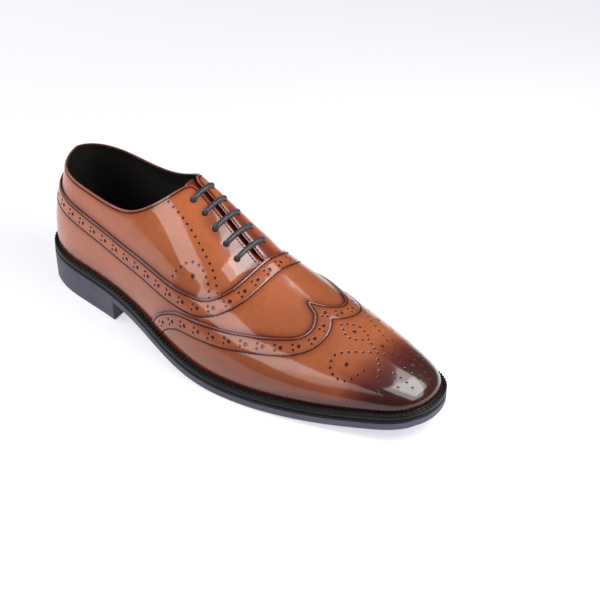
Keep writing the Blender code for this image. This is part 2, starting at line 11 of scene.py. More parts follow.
import bmesh
import bpy
import numpy as np
from mathutils import Matrix, Vector
from mathutils.geometry import delaunay_2d_cdt
from mathutils.kdtree import KDTree

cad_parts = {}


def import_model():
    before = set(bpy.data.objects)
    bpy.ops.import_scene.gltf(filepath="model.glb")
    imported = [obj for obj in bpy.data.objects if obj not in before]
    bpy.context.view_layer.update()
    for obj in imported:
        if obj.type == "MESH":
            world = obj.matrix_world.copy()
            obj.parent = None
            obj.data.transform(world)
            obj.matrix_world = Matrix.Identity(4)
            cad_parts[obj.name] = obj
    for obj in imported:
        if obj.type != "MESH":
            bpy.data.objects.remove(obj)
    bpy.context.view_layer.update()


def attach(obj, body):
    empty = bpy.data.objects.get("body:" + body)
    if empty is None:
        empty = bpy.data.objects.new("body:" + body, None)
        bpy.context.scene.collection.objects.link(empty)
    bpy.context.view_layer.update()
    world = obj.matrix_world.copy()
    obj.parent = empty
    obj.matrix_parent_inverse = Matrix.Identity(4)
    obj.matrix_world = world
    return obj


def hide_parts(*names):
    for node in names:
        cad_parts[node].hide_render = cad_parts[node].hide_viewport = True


MM = 0.001

# Driving dimensions of the solids, in millimetres
GAP = 0.3
FEATHER_HEIGHT = 11.2
OUTSOLE_THICKNESS = 7.5
SOLE_CORNER = 0.5
BLACK_FROM = 5.2
WELT_MARGIN_BACK = 2.8
WELT_MARGIN_FORE = 4.3
WELT_INNER = 6.5
MARGIN_GROWS_FROM, MARGIN_GROWS_TO = 80.0, 160.0
HEEL_LENGTH = 78.5
HEEL_INSET = 0.7
HEEL_BREAST_HOLLOW = 3.5
FLOOR_CUT = 0.4
WALL = 1.6
RECESS = 1.1
RECESS_FADE_FROM, RECESS_FADE_TO = 2.0, 15.0
EYELET_X = (125.6, 135.2, 144.8, 154.4, 164.0)
EYELET_OFF_GAP = (8.9, 9.5, 11.1, 11.9, 12.9)
GAP_SHIFT = -4.4
GAP_SHIFT_BLEND = 16.0
WING_PEAK_SHIFT = -4.1
PEAK_BLEND_OUTER, PEAK_BLEND_INNER = (0, 9), (18, 55)
TONGUE_WALL = 1.8
TONGUE_DROP = 3.6
TONGUE_DROP_THROAT = 0.45
TONGUE_RISES_FROM, TONGUE_RISES_TO = 166.0, 174.0
TONGUE_RIDGE, RIDGE_FROM, RIDGE_TO = 1.7, 3.5, 8.5
INSOLE_THICKNESS = 3.0
INSOLE_INSET = 4.4

# Leather work, in millimetres
WING_LIFT = 0.8
PANEL_THICKNESS = 0.95
UNDERLAP = 3.0
EDGE_ROUND = 0.34
STITCH_FROM_EDGE = 1.7
STITCH_PITCH = 2.15
STITCH_LENGTH = 1.75
STITCH_RADIUS = 0.40
STITCH_STANDS = 0.06
STITCH_RINGS = ((-0.47, 0.28), (-0.36, 0.46), (0.36, 0.46), (0.47, 0.28))
GROOVE_DEPTH = 0.16
GROOVE_HALF_WIDTH = 0.45
BROGUE_BAND = 11.3
BAND_PITCH, WING_PITCH = 11.2, 11.0
SMALL_HOLE, BIG_HOLE, DOT_HOLE, EYE_HOLE = 0.72, 1.15, 0.78, 1.3
PAIR_APART = 3.3
BIG_AHEAD = 3.5
HOLE_ROUND = 0.20
HOLE_DEPTH = 0.7
HOLE_FROM_SEAM, DOT_FROM_EDGE, HOLES_APART = 0.8, 1.0, 0.35
BACKING_MARGIN = 0.22
BACKING_THICKNESS = 0.2
BACKING_SIDES = 12
LACE_EYELET = 1.95
LACE_RADIUS = 1.65
LACE_SIDES = 16
LACE_STANDS = 0.1
LINING_GAP = 0.05
LINING_BACK, LINING_BACK_ALONG = 0.9, (112, 118)
FEATHER_TUCK = 0.05
RIB_PITCH = 3.1
RIB_FROM, RIB_TO = 0.55, 1.75
RIB_OVERHANG, RIB_WIDTH, RIB_THICKNESS = 0.8, 2.0, 1.5

# The dark lines and the whole-piece tones, each a strength and a width, or a strength on a whole piece: edge
# dye with painted shade at the rims, painted shade in the stitch grooves, painted shadow along the creases,
# and painted shade round the holes, on the tongue and on the holes' underlay
RIM_DYE_AND_SHADE_WIDTH = 0.34
GROOVE_PAINTED_SHADE, GROOVE_HAZE = (0.9, 0.42), (0.20, 2.0)
CREASE_PAINTED_SHADOW, CREASE_HAZE = (0.95, 0.75), (0.28, 2.6)
HOLE_PAINTED_SHADE = (0.75, 0.12)
QUARTER_RIM, OVERLAY_RIM, TONGUE_RIM = 0.1, 0.9, 0.4
TONGUE_PAINTED_SHADE = 0.42
BACKING_PAINTED_SHADE = 0.78

# The burnish: its strength, and where it sets in and is full, by x or by the share up the wall
TOE_FULL = (251, 286)
LOW_BURNISH, LOW_ALONG = 0.8, (95, 255)
HEEL_BURNISH, HEEL_UP = 0.24, (0.12, 0.0)
FOOT_BURNISH, FOOT_UP = 0.85, (0.045, 0.012)
FLANK_BURNISH, FLANK_UP, FLANK_ALONG = 0.17, (0.42, 0.12), (60, 150)
# Painted shade on the facings: its strength, and where it sets in and is full, by the distance off the gap
# and by x
THROAT_PAINTED_SHADE, THROAT_OFF, THROAT_ALONG = 0.42, (20, 9), (126, 150)

# Where the meshes are finer, as distances from an edge, a groove or a pressed line
MESH_CELL = 2.3
GRID_CLEARANCE, ROW_CLEARANCE, EDGE_CLEARANCE, RING_CLEARANCE = 0.62 * MESH_CELL, 0.25, 0.06, 0.1
EDGE_STEP = 1.0
ROUNDED_ROWS = (0.06, 0.16, 0.31, 0.45)
STITCHED_ROWS = (0.8, *(STITCH_FROM_EDGE + away for away in (-0.4, 0.0, 0.4, 0.9)))
GROOVE_ROWS = (-0.9, -0.4, 0.001, 0.4, 0.9)
CREASE_ROWS = (-1.4, -0.7, 0.001, 0.7, 1.4)
HOLE_RINGS = (0.16, 0.42)

# The last, one row a section from heel to toe: the same table as the solids
SECTIONS = np.array([
    #  x      outer  inner  rise   crown  centre  upright broad  swell
    [2.6,     0.0,   0.0,   18.4,  71.0,  0.0,    0.49,   0.92,  0.00],
    [2.6,    17.0,  16.0,   16.9,  73.0,  0.0,    0.49,   0.91,  0.04],
    [20.0,   30.3,  29.5,   15.7,  77.0,  0.4,    0.49,   0.87,  0.05],
    [46.0,   33.3,  31.8,   15.7,  82.5,  0.7,    0.50,   0.74,  0.06],
    [75.0,   35.6,  29.9,   15.1,  88.5,  2.0,    0.46,   0.64,  0.05],
    [105.0,  40.3,  26.8,   11.1,  90.0,  3.0,    0.44,   0.61,  0.06],
    [135.0,  47.5,  30.1,   5.1,   81.5,  3.7,    0.46,   0.65,  0.09],
    [165.0,  51.9,  42.4,   0.6,   62.0,  4.1,    0.47,   0.63,  0.09],
    [195.0,  49.2,  49.5,   0.1,   49.0,  5.4,    0.47,   0.61,  0.08],
    [222.0,  43.1,  48.7,   1.2,   37.5,  5.6,    0.50,   0.61,  0.07],
    [249.0,  34.3,  44.3,   3.3,   28.6,  4.6,    0.54,   0.63,  0.05],
    [275.0,  23.9,  35.3,   6.9,   19.5,  3.8,    0.58,   0.67,  0.04],
    [301.0,  13.5,  23.6,   11.7,  9.5,   4.2,    0.60,   0.69,  0.03],
    [301.0,  -4.5,  4.5,    12.4,  0.0,   4.5,    0.60,   0.68,  0.00],
])
X, OUTER, INNER, RISE, CROWN, CENTRE, UPRIGHT, BROAD, SWELL = range(9)
BACK_LEAN = (0.0, -1.5, -1.0, 5.4, 8.9)
BACK_LEAN_HEIGHT = 62.0
BACK_LEAN_LENGTH = 75.0

# The top line seen from the side: x, height on the outer side, height on the inner side
TOPLINE = np.array([
    #  x      outer   inner
    [2.6,    91.0,   91.0],
    [2.6,    88.5,   90.0],
    [15.0,   85.0,   88.0],
    [35.0,   84.0,   85.0],
    [55.0,   82.5,   83.5],
    [75.0,   81.0,   85.5],
    [93.0,   84.5,   91.5],
    [108.0,  96.5,   100.5],
    [120.0,  108.0,  108.0],
])
CORNER_ROUNDING = 0.07
CORNER_CUT = 6.5
FACING_OFF_CROWN = 2.6

# Half the gap between the two facings
FACING = np.array([
    #  x      half gap
    [100.0,  0.45],
    [152.0,  0.22],
    [166.0,  0.22],
    [172.5,  0.30],
])

# Upper edge of the vamp and lower quarters: x, and the share of the way up the wall, outer and inner side
BAND_EDGE = np.array([
    #  x      outer  inner
    [174.5,  1.000, 1.000],
    [174.3,  0.820, 0.840],
    [171.0,  0.640, 0.660],
    [161.5,  0.490, 0.500],
    [148.0,  0.410, 0.420],
    [126.0,  0.338, 0.345],
    [90.0,   0.294, 0.300],
    [60.0,   0.316, 0.320],
    [34.0,   0.368, 0.370],
    [16.0,   0.418, 0.420],
    [2.6,    0.480, 0.480],
])

# Upper edge of the wing cap
WING_EDGE = np.array([
    #  x      outer  inner
    [209.0,  1.000, 1.000],
    [217.5,  0.905, 0.915],
    [222.5,  0.790, 0.800],
    [220.0,  0.665, 0.680],
    [208.0,  0.555, 0.580],
    [186.0,  0.435, 0.460],
    [162.0,  0.335, 0.350],
    [144.0,  0.256, 0.265],
    [131.0,  0.165, 0.170],
    [123.9,  0.095, 0.100],
    [117.5,  0.000, 0.000],
])

# The tongue: x, and half its width measured round the section
TONGUE_SHAPE = np.array([
    #  x      half width
    [114.5,  13.0],
    [116.0,  18.0],
    [120.0,  21.5],
    [150.0,  19.0],
    [183.0,  16.0],
])

# A big hole of each punched band, which places the others: x, the share up the wall, and the side
BAND_ANCHOR, WING_ANCHOR = (177.7, 0.824, -1), (230.0, 0.714, -1)

# Punched ornament. Each line of dots is drawn through its places, x and the share up the wall, and has this
# many dots. Those of the quarters are on both sides, those of the toe are mirrored about its middle.
QUARTER_LINES = (
    (15, ((113.2, .714), (129.7, .712), (144.6, .689), (157.9, .647), (166.0, .570))),
    (12, ((133.9, .403), (137.2, .479), (143.5, .575), (150.8, .603), (157.5, .575), (161.8, .520),
          (164.5, .465))),
)
QUARTER_EYES = ((147.9, .521),)
# The toe's ornament by x and the distance off the crown. The first lines are on both sides of its middle
# line, which leans: the inner side's places lie farther back.
TOE_SIDE_LINES = (
    (15, ((262.6, -1.9), (256.6, -6.3), (249.2, -12.3), (244.3, -19.0), (247.0, -26.0), (253.0, -28.5),
          (260.3, -25.1), (264.0, -15.0))),
    (6, ((265.7, -4.5), (270.6, -8.3), (273.9, -13.2), (277.4, -20.8))),
    (4, ((279.2, -5.7), (283.7, -5.8), (288.2, -5.7), (292.7, -5.9))),
    (1, ((286.5, -11.2), (288.0, -11.2))),
)
TOE_SIDE_EYE = (253.6, -18.2)
TOE_LINES = (
    (13, ((233.8, -1.6), (236.3, 1.2), (241.9, 4.4), (247.4, 3.8), (252.2, 1.8), (248.8, -2.0), (244.1, -4.8),
          (239.4, -4.5), (233.8, -1.6))),
    (4, ((252.2, 1.8), (257.0, -0.4), (262.6, -1.9))),
    (3, ((266.2, -0.1), (269.0, 2.2), (267.6, 6.4))),
    (11, ((272.2, 3.6), (276.4, 7.2), (283.0, 7.7), (290.0, 5.5), (294.7, 3.9), (288.3, 0.2), (281.0, 0.0),
          (272.2, 3.6))),
)
TOE_EYES = ((242.6, 0.0), (261.0, 3.3), (282.9, 3.7))
TOE_MIDDLE = ((240.0, -0.1), (250.0, 1.4), (261.0, 3.3), (283.0, 3.8))
TOE_LEAN = 0.58

# The camera: where it looks in the frame in metres, from which side, how far and how wide
TARGET = Vector((-0.00255, 0.00096, 0.030))
AZIMUTH, ELEVATION, ROLL = 41.05, 35.30, -0.35
DISTANCE = 1.00792
SENSOR = 36.0
LENS = 94.16
SHIFT = (0.1103, -0.0033)


def basis(rows, u):
    """Weights of a clamped uniform cubic curve with this many control rows, at each u from 0 to 1."""
    u = np.clip(np.atleast_1d(np.asarray(u, float)), 0.0, 1.0 - 1e-9)
    knots = np.concatenate([[0.0] * 3, np.linspace(0, 1, rows - 2), [1.0] * 3])
    weights = np.array([(knots[i] <= u) & (u < knots[i + 1]) for i in range(len(knots) - 1)], float)
    for degree in (1, 2, 3):
        raised = []
        for i in range(len(weights) - 1):
            span_left = knots[i + degree] - knots[i]
            span_right = knots[i + degree + 1] - knots[i + 1]
            left = (u - knots[i]) / span_left * weights[i] if span_left > 0 else 0 * u
            right = (knots[i + degree + 1] - u) / span_right * weights[i + 1] if span_right > 0 else 0 * u
            raised.append(left + right)
        weights = np.array(raised)
    return np.moveaxis(weights, 0, -1)


def through(points, steps):
    """A smooth curve through the points, with this many steps between each two."""
    points = np.asarray(points, float)
    padded = np.vstack([2 * points[0] - points[1], points, 2 * points[-1] - points[-2]])
    share = np.linspace(0, 1, steps, endpoint=False)[:, None]
    spans = []
    for before, start, end, after in zip(padded, padded[1:], padded[2:], padded[3:]):
        spans.append(0.5 * (2 * start + (end - before) * share
                            + (2 * before - 5 * start + 4 * end - after) * share ** 2
                            + (3 * start - before - 3 * end + after) * share ** 3))
    return np.vstack(spans + [points[-1:]])


def smoothstep(low, high, value):
    share = np.clip((value - low) / (high - low), 0, 1)
    return share * share * (3 - 2 * share)


def unit(vectors):
    """The vectors at a length of one."""
    return vectors / np.maximum(np.linalg.norm(vectors, axis=-1, keepdims=True), 1e-9)


def ring(radius, count, first, second):
    """The points of a circle about the origin, in the plane of two directions."""
    angles = np.linspace(0, 2 * math.pi, count, endpoint=False)[:, None]
    return radius * (np.cos(angles) * first + np.sin(angles) * second)


def bend(start, corner, end, count):
    """The points of a smooth bend that cuts a corner."""
    share = np.linspace(0, 1, count)[:, None]
    return (1 - share) ** 2 * start + 2 * share * (1 - share) * corner + share ** 2 * end


def lengths(line):
    """The distance of each point from the start of its line."""
    return np.concatenate([[0], np.cumsum(np.linalg.norm(np.diff(line, axis=0), axis=1))])


U_FINE = np.linspace(0, 1, 2401)
COLUMNS = basis(len(SECTIONS), U_FINE) @ SECTIONS


def column(name, u):
    return np.interp(u, U_FINE, COLUMNS[:, name])


def rise(u):
    """Height of the outsole's underside, with the heel seat and the flat tread under the ball."""
    return np.maximum(column(RISE, u) - FLOOR_CUT, 0.0)


def u_at(x):
    return np.interp(x, COLUMNS[:, X], U_FINE)


def surface(u, t, side):
    """Points of the last. t runs from the feather line to the crown. side is -1 outside and 1 inside."""
    u, t = np.broadcast_arrays(np.atleast_1d(u).astype(float), t)
    t = t.astype(float)
    side = np.broadcast_to(side, u.shape)
    foot = rise(u) + FEATHER_HEIGHT
    crown, centre = column(CROWN, u), column(CENTRE, u)
    width = np.where(side < 0, -column(OUTER, u), column(INNER, u)) - centre
    upright, broad, swell = column(UPRIGHT, u), column(BROAD, u), column(SWELL, u)
    low, mid, high = (1 - t) ** 3, 3 * (1 - t) ** 2 * t, 3 * (1 - t) * t ** 2
    up = crown * (mid * upright + high + t ** 3)
    out = centre + width * (low + mid * (1 + swell) + high * broad)
    share = np.clip(up / BACK_LEAN_HEIGHT, 0, 1.25)
    lean = sum(math.comb(4, k) * (1 - share) ** (4 - k) * share ** k * BACK_LEAN[k] for k in range(5))
    x = column(X, u)
    fade = np.clip(1 - (x - SECTIONS[0, X]) / BACK_LEAN_LENGTH, 0, 1) ** 2
    return np.stack([x + lean * fade, out, foot + up], -1)


def normals(u, t, side):
    """Outward unit normals of the last."""
    step = 1e-3
    u = np.clip(u, step, 1 - 2 * step)
    t = np.clip(t, 0, 1)
    t_low, t_high = np.maximum(t - step, 0), np.minimum(t + step, 1)
    along = surface(u + step, t, side) - surface(u - step, t, side)
    up = surface(u, t_high, side) - surface(u, t_low, side)
    return unit(np.cross(along, up) * -np.broadcast_to(side, u.shape)[..., None])


# The unrolled upper: distance along the shoe, and distance round the section from the crown, negative
# on the outer side. The toe is the point where both sides end.
def make_unrolled():
    levels = np.linspace(0, 1, 41)
    run = np.zeros(len(U_FINE))
    girth = {}
    for side in (-1, 1):
        run += 0.5 * lengths(surface(U_FINE, 0.4, side))
        rows = surface(U_FINE[:, None], levels[None, :], side)
        girth[side] = np.linalg.norm(np.diff(rows, axis=1), axis=-1).sum(axis=1)
    return run, girth


RUN, GIRTH = make_unrolled()


def to_flat(u, t, side):
    """(u, t, side) to unrolled coordinates."""
    u, t = np.broadcast_arrays(np.atleast_1d(u).astype(float), t)
    return np.stack([np.interp(u, U_FINE, RUN), side * (1 - t) * np.interp(u, U_FINE, GIRTH[side])], -1)


def from_flat(flat):
    """Unrolled coordinates to (u, t, side)."""
    flat = np.asarray(flat, float)
    u = np.interp(flat[:, 0], RUN, U_FINE)
    side = np.where(flat[:, 1] < 0, -1, 1)
    girth = np.where(side < 0, np.interp(u, U_FINE, GIRTH[-1]), np.interp(u, U_FINE, GIRTH[1]))
    t = 1 - np.abs(flat[:, 1]) / np.maximum(girth, 1e-6)
    return u, np.clip(t, 0, 1), side


def share_where(u, side, value, target):
    """The t at which value(point) first reaches the target, going up each section."""
    low, high = np.zeros(len(u)), np.ones(len(u))
    for _ in range(30):
        middle = (low + high) / 2
        below = value(surface(u, middle, side)) < target
        low, high = np.where(below, middle, low), np.where(below, high, middle)
    return (low + high) / 2


def opening_edge(u, side):
    """The t where the upper ends at the top line and the facing."""
    line = basis(len(TOPLINE), np.linspace(0, 1, 200)) @ TOPLINE
    x = column(X, u)
    height = np.interp(x, line[:, 0], line[:, 1 if side < 0 else 2])
    height = np.where(x > TOPLINE[-1, 0] - 0.01, 400.0, height)
    at_top = share_where(u, side, lambda p: p[:, 2], height)
    half_gap = np.interp(x, FACING[:, 0], FACING[:, 1])
    centre = column(CENTRE, u)
    at_facing = share_where(u, side, lambda p: -np.abs(p[:, 1] - centre), -half_gap)
    at_facing = np.where(x < FACING[0, 0], 2.0, at_facing)
    near = np.maximum(CORNER_ROUNDING - np.abs(at_top - at_facing), 0) / CORNER_ROUNDING
    return np.minimum(at_top, at_facing) - near ** 2 * CORNER_ROUNDING / 4


def resample(line, step):
    """The polyline with its ends kept and its points about one step apart."""
    line = np.asarray(line, float)
    length = lengths(line)
    count = max(2, int(round(length[-1] / step)) + 1)
    wanted = np.linspace(0, length[-1], count)
    return np.stack([np.interp(wanted, length, line[:, k]) for k in range(line.shape[1])], -1)


def drawn(places, side, steps):
    """A line through places of x and share up the wall, in unrolled coordinates."""
    line = through(places, steps)
    return to_flat(u_at(line[:, 0]), np.clip(line[:, 1], 0, 1), side)


def pattern_edge(table, side):
    """A pattern table as a line in unrolled coordinates, from the crown outwards."""
    return drawn(table[:, [0, 1 if side < 0 else 2]], side, 16)


def flat_at_girth(x, off_centre):
    """The unrolled place at this x, this real distance round the section from the crown."""
    side = -1 if off_centre < 0 else 1
    t = np.linspace(1, 0.3, 200)
    line = surface(np.full(200, u_at(x)), t, side)
    return to_flat(u_at(x), np.interp(abs(off_centre), lengths(line), t), side)[0]


def inside(points, loop):
    """Whether each point lies inside the loop."""
    found = []
    ax, ay = loop[:, 0][None], loop[:, 1][None]
    bx, by = np.roll(loop[:, 0], -1)[None], np.roll(loop[:, 1], -1)[None]
    for part in np.array_split(points, max(1, len(points) // 4000)):
        x, y = part[:, 0][:, None], part[:, 1][:, None]
        crosses = (ay > y) != (by > y)
        with np.errstate(divide="ignore", invalid="ignore"):
            at = ax + (y - ay) / (by - ay) * (bx - ax)
        found.append((crosses & (x < at)).sum(axis=1) % 2 == 1)
    return np.concatenate(found)


def distance_to(points, line):
    """Distance from each point to an open polyline."""
    start, run = line[:-1], np.diff(line, axis=0)
    span = np.maximum((run ** 2).sum(-1), 1e-12)
    found = []
    for part in np.array_split(points, max(1, len(points) // 2000)):
        offset = part[:, None] - start[None]
        share = np.clip((offset * run).sum(-1) / span, 0, 1)
        found.append(np.linalg.norm(offset - share[..., None] * run, axis=-1).min(axis=1))
    return np.concatenate(found)


def tangents(flat):
    """The two directions of the unrolled plan on the last, and its normal."""
    step = 0.25
    moved = []
    for way in ((step, 0), (0, step)):
        ahead = surface(*from_flat(flat + way))
        behind = surface(*from_flat(flat - way))
        moved.append((ahead - behind) / (2 * step))
    return moved[0], moved[1], normals(*from_flat(flat))


def shifted(flat, real):
    """Flat points moved by real vectors that lie in the surface."""
    along, across, _ = tangents(flat)
    aa, ab, bb = (along * along).sum(-1), (along * across).sum(-1), (across * across).sum(-1)
    ra, rb = (along * real).sum(-1), (across * real).sum(-1)
    spread = np.maximum(aa * bb - ab * ab, 1e-6)
    return flat + np.stack([(bb * ra - ab * rb) / spread, (aa * rb - ab * ra) / spread], -1)


def real(flat):
    """Unrolled places as points on the last."""
    return surface(*from_flat(flat))


def away_from(flat, line):
    """Distance over the shoe from each unrolled place to an unrolled line."""
    return distance_to(real(flat), real(line))


def beside(line, distance):
    """The line moved over the surface by a real distance, to the left of the way it runs."""
    steps = max(1, math.ceil(abs(distance) / 1.5))
    moved = np.asarray(line, float)
    for step in range(1, steps + 1):
        along, across, out = tangents(moved)
        way = np.gradient(moved, axis=0)
        ahead = along * way[:, :1] + across * way[:, 1:]
        moved = shifted(moved, unit(np.cross(out, ahead)) * distance / steps)
        done = abs(distance) * step / steps
        moved = moved[away_from(moved, line) > 0.93 * done]
        if step < steps:
            moved = resample(moved, 1.0)
    return moved


def on_last(flat, offset):
    """Places over the last's surface, never under the welt's top."""
    u, t, side = from_flat(flat)
    points = surface(u, t, side) + normals(u, t, side) * np.broadcast_to(offset, len(flat))[:, None]
    points[:, 2] = np.maximum(points[:, 2], rise(u) + FEATHER_HEIGHT - GAP)
    return points


def circle(centre, radius, count):
    """A round hole on the last, as a loop in the plan."""
    along, _, out = tangents(centre[None])
    first = unit(along[0])
    around = ring(radius, count, first, np.cross(out[0], first))
    return shifted(np.repeat(centre[None], count, axis=0), around)


# Meshes
def add_object(name, data):
    made = bpy.data.objects.new(name, data)
    bpy.context.scene.collection.objects.link(made)
    return made


def add_mesh(name, points, faces, material, tone=None):
    """A smooth mesh object from shoe millimetres. tone is how dark the dye and the painted shade are at each
    point.
    """
    mesh = bpy.data.meshes.new(name)
    moved = (np.asarray(points, float) - ORIGIN) * MM
    mesh.from_pydata(moved.tolist(), [], [[int(k) for k in f] for f in faces])
    if tone is not None:
        mesh.attributes.new("tone", "FLOAT", "POINT").data.foreach_set("value", np.asarray(tone, np.float32))
    work = bmesh.new()
    work.from_mesh(mesh)
    loose = [v for v in work.verts if not v.link_faces]
    bmesh.ops.delete(work, geom=loose, context="VERTS")
    bmesh.ops.recalc_face_normals(work, faces=work.faces)
    if work.calc_volume(signed=True) < 0:
        bmesh.ops.reverse_faces(work, faces=work.faces)
    work.to_mesh(mesh)
    work.free()
    mesh.shade_smooth()
    mesh.set_sharp_from_angle(angle=math.radians(50))
    mesh.materials.append(material)
    return add_object(name, mesh)


def spaced(points, kept, clearance):
    """The points that are at least this far from every kept one."""
    if not len(kept) or not len(points):
        return points
    tree = KDTree(len(kept))
    for index, place in enumerate(kept):
        tree.insert((place[0], place[1], 0), index)
    tree.balance()
    far = [tree.find((p[0], p[1], 0))[2] > clearance for p in points]
    return points[np.array(far)]


class Hole:
    """A punched hole: its middle and radius, and its outline in the plan."""

    def __init__(self, centre, radius, sides=14):
        self.centre = np.asarray(centre, float)
        self.radius = radius
        self.loop = circle(self.centre, radius, sides)


def in_holes(points, holes):
    """Whether each point lies in one of the holes."""
    found = np.zeros(len(points), bool)
    for hole in holes:
        near = np.abs(points - hole.centre).max(axis=1) < hole.radius + 1
        found[near] |= inside(points[near], hole.loop)
    return found


def mesh_plan(outline, holes, rows):
    """Points and triangles of the plan inside the outline, finer along the rows and round the holes."""
    points, edges = [], []
    for loop in [outline] + [hole.loop for hole in holes]:
        start, count = len(points), len(loop)
        points += list(loop)
        edges += [(start + k, start + (k + 1) % count) for k in range(count)]
    kept = np.array(points)
    rings = [circle(hole.centre, hole.radius + more, len(hole.loop)) for hole in holes for more in HOLE_RINGS]
    batches = [(np.vstack(rings), RING_CLEARANCE)] if rings else []
    batches += [(row, clearance) for row, clearance in rows if len(row)]
    low, high = outline.min(axis=0), outline.max(axis=0)
    grid = [(x + (k % 2) * MESH_CELL / 2, y)
            for k, y in enumerate(np.arange(low[1] + MESH_CELL / 3, high[1], MESH_CELL * math.sqrt(3) / 2))
            for x in np.arange(low[0], high[0], MESH_CELL)]
    batches.append((np.array(grid), GRID_CLEARANCE))
    for batch, clearance in batches:
        batch = batch[inside(batch, outline)]
        batch = batch[~in_holes(batch, holes)]
        kept = np.vstack([kept, spaced(batch, kept, clearance)])
    places, _, faces, _, _, _ = delaunay_2d_cdt([Vector(p) for p in kept], edges, [], 0, 1e-5)
    places = np.array([tuple(p) for p in places])
    faces = np.array([tuple(f) for f in faces])
    middles = places[faces].mean(axis=1)
    return places, faces[inside(middles, outline) & ~in_holes(middles, holes)]


def rows_beside(line, distances, clearance=ROW_CLEARANCE):
    """Rows of points at these distances beside a line, to make the mesh finer there."""
    return [(resample(beside(line, distance), EDGE_STEP), clearance) for distance in distances]


def rolled(distance, radius):
    """How far a rounded edge falls away at a distance in from it."""
    share = np.clip(1 - distance / radius, 0, 1)
    return radius * (1 - np.sqrt(np.maximum(1 - share ** 2, 0)))


def near_holes(flat, holes):
    """Distance from each point to the rim of the nearest hole."""
    nearest = np.full(len(flat), 99.0)
    for hole in holes:
        close = np.abs(flat - hole.centre).max(axis=1) < hole.radius + 5
        if close.any():
            away = np.linalg.norm(real(flat[close]) - real(hole.centre[None]), axis=1) - hole.radius
            nearest[close] = np.minimum(nearest[close], np.maximum(away, 0))
    return nearest


def mark(distance, strength, width):
    """A line of this strength, fading away on both sides."""
    return strength * np.exp(-(distance / width) ** 2)


def everywhere(value):
    """A height or a dye that is the same at every place."""
    return lambda flat: np.full(len(flat), value)


def leather_panel(name, outline, holes, edges, grooves, lift, thickness, material, burnish, creases=()):
    """A cut piece of leather on the last: rounded edges, stitched grooves, punched holes and a tone of dye
    and painted shade.

    edges hold a line, the side that the leather is on and how dark its rim is. creases are the lines where
    the edge of an overlay lies on the piece, along which a painted shadow falls. lift and burnish give the
    height and the tone at a place: the dye's burnish, and on the facings and the tongue painted shade.
    """
    rows = []
    for line, way, _ in edges:
        rows += rows_beside(line, [way * away for away in ROUNDED_ROWS], EDGE_CLEARANCE)
        rows += rows_beside(line, [way * away for away in STITCHED_ROWS])
    for lines, distances in ((grooves, GROOVE_ROWS), (creases, CREASE_ROWS)):
        for line in lines:
            rows += rows_beside(line, distances)
    flat, faces = mesh_plan(outline, holes, rows)
    top = np.array(lift(flat), float)
    bottom = top - thickness
    tones = [burnish(flat)]
    stitched = []
    # Each edge gets a dark line along its rim: edge dye, and painted shade where the edge stands over the
    # piece below
    for line, _, rim_dye_and_shade in edges:
        away = away_from(flat, line)
        top -= rolled(away, EDGE_ROUND)
        tones.append(mark(away, rim_dye_and_shade, RIM_DYE_AND_SHADE_WIDTH))
        stitched.append((away - STITCH_FROM_EDGE, np.maximum(away - STITCH_FROM_EDGE, 0)))
    for line in grooves:
        away = away_from(flat, line)
        stitched.append((away, away))
    # The stitch grooves get painted shade: a dark line in the groove, and a softer, wider shade beside it
    for away, inward in stitched:
        top -= mark(away, GROOVE_DEPTH, GROOVE_HALF_WIDTH)
        tones += [mark(away, *GROOVE_PAINTED_SHADE), mark(inward, *GROOVE_HAZE)]
    # Painted shadow along the lines where an overlay's edge lies on this piece
    for line in creases:
        away = away_from(flat, line)
        tones += [mark(away, *CREASE_PAINTED_SHADOW), mark(away, *CREASE_HAZE)]
    # Painted shade: a dark ring round the rim of each punched hole
    rim = near_holes(flat, holes)
    top -= rolled(rim, HOLE_ROUND)
    tones.append(mark(rim, *HOLE_PAINTED_SHADE))
    count = len(flat)
    used = set()
    for a, b, c in faces:
        used |= {(a, b), (b, c), (c, a)}
    walls = [(b, a, a + count, b + count) for (a, b) in used if (b, a) not in used]
    polygons = [tuple(f) for f in faces] + [tuple(reversed(f + count)) for f in faces] + walls
    points = np.vstack([on_last(flat, top), on_last(flat, bottom)])
    tone = np.concatenate([np.maximum.reduce(tones), np.ones(count)])
    return add_mesh(name, points, polygons, material, tone)


def toe_burnish(flat):
    """The dark burnish of the toe, and the darker band along the welt."""
    u, t, _ = from_flat(flat)
    x = column(X, u)
    wander = 1.6 * np.sin(flat[:, 1] * 0.21) + 0.9 * np.sin(flat[:, 1] * 0.5 + 1.0)
    toe = smoothstep(*TOE_FULL, x + 5 * (1 - t) ** 2 + wander)
    edge = 0.10 + 0.20 * smoothstep(190, 285, x)
    low = LOW_BURNISH * smoothstep(edge, 0.0, t) * smoothstep(*LOW_ALONG, x)
    heel = HEEL_BURNISH * smoothstep(*HEEL_UP, t)
    foot = FOOT_BURNISH * smoothstep(*FOOT_UP, t)
    flank = FLANK_BURNISH * smoothstep(*FLANK_UP, t) * smoothstep(*FLANK_ALONG, x)
    edge_dye = np.maximum(np.maximum(foot, flank), np.maximum(low, heel))
    return np.clip(np.maximum(toe, edge_dye) + 0.35 * toe * low, 0, 1)


def facing_painted_shade(flat):
    """Darker painted shade along the facings, strongest at the throat."""
    x = column(X, from_flat(flat)[0])
    off = np.abs(flat[:, 1] - GAP_SHIFT)
    wander = 1.2 * np.sin(flat[:, 0] * 0.19 + 0.6)
    return THROAT_PAINTED_SHADE * smoothstep(*THROAT_OFF, off + wander) * smoothstep(*THROAT_ALONG, x)


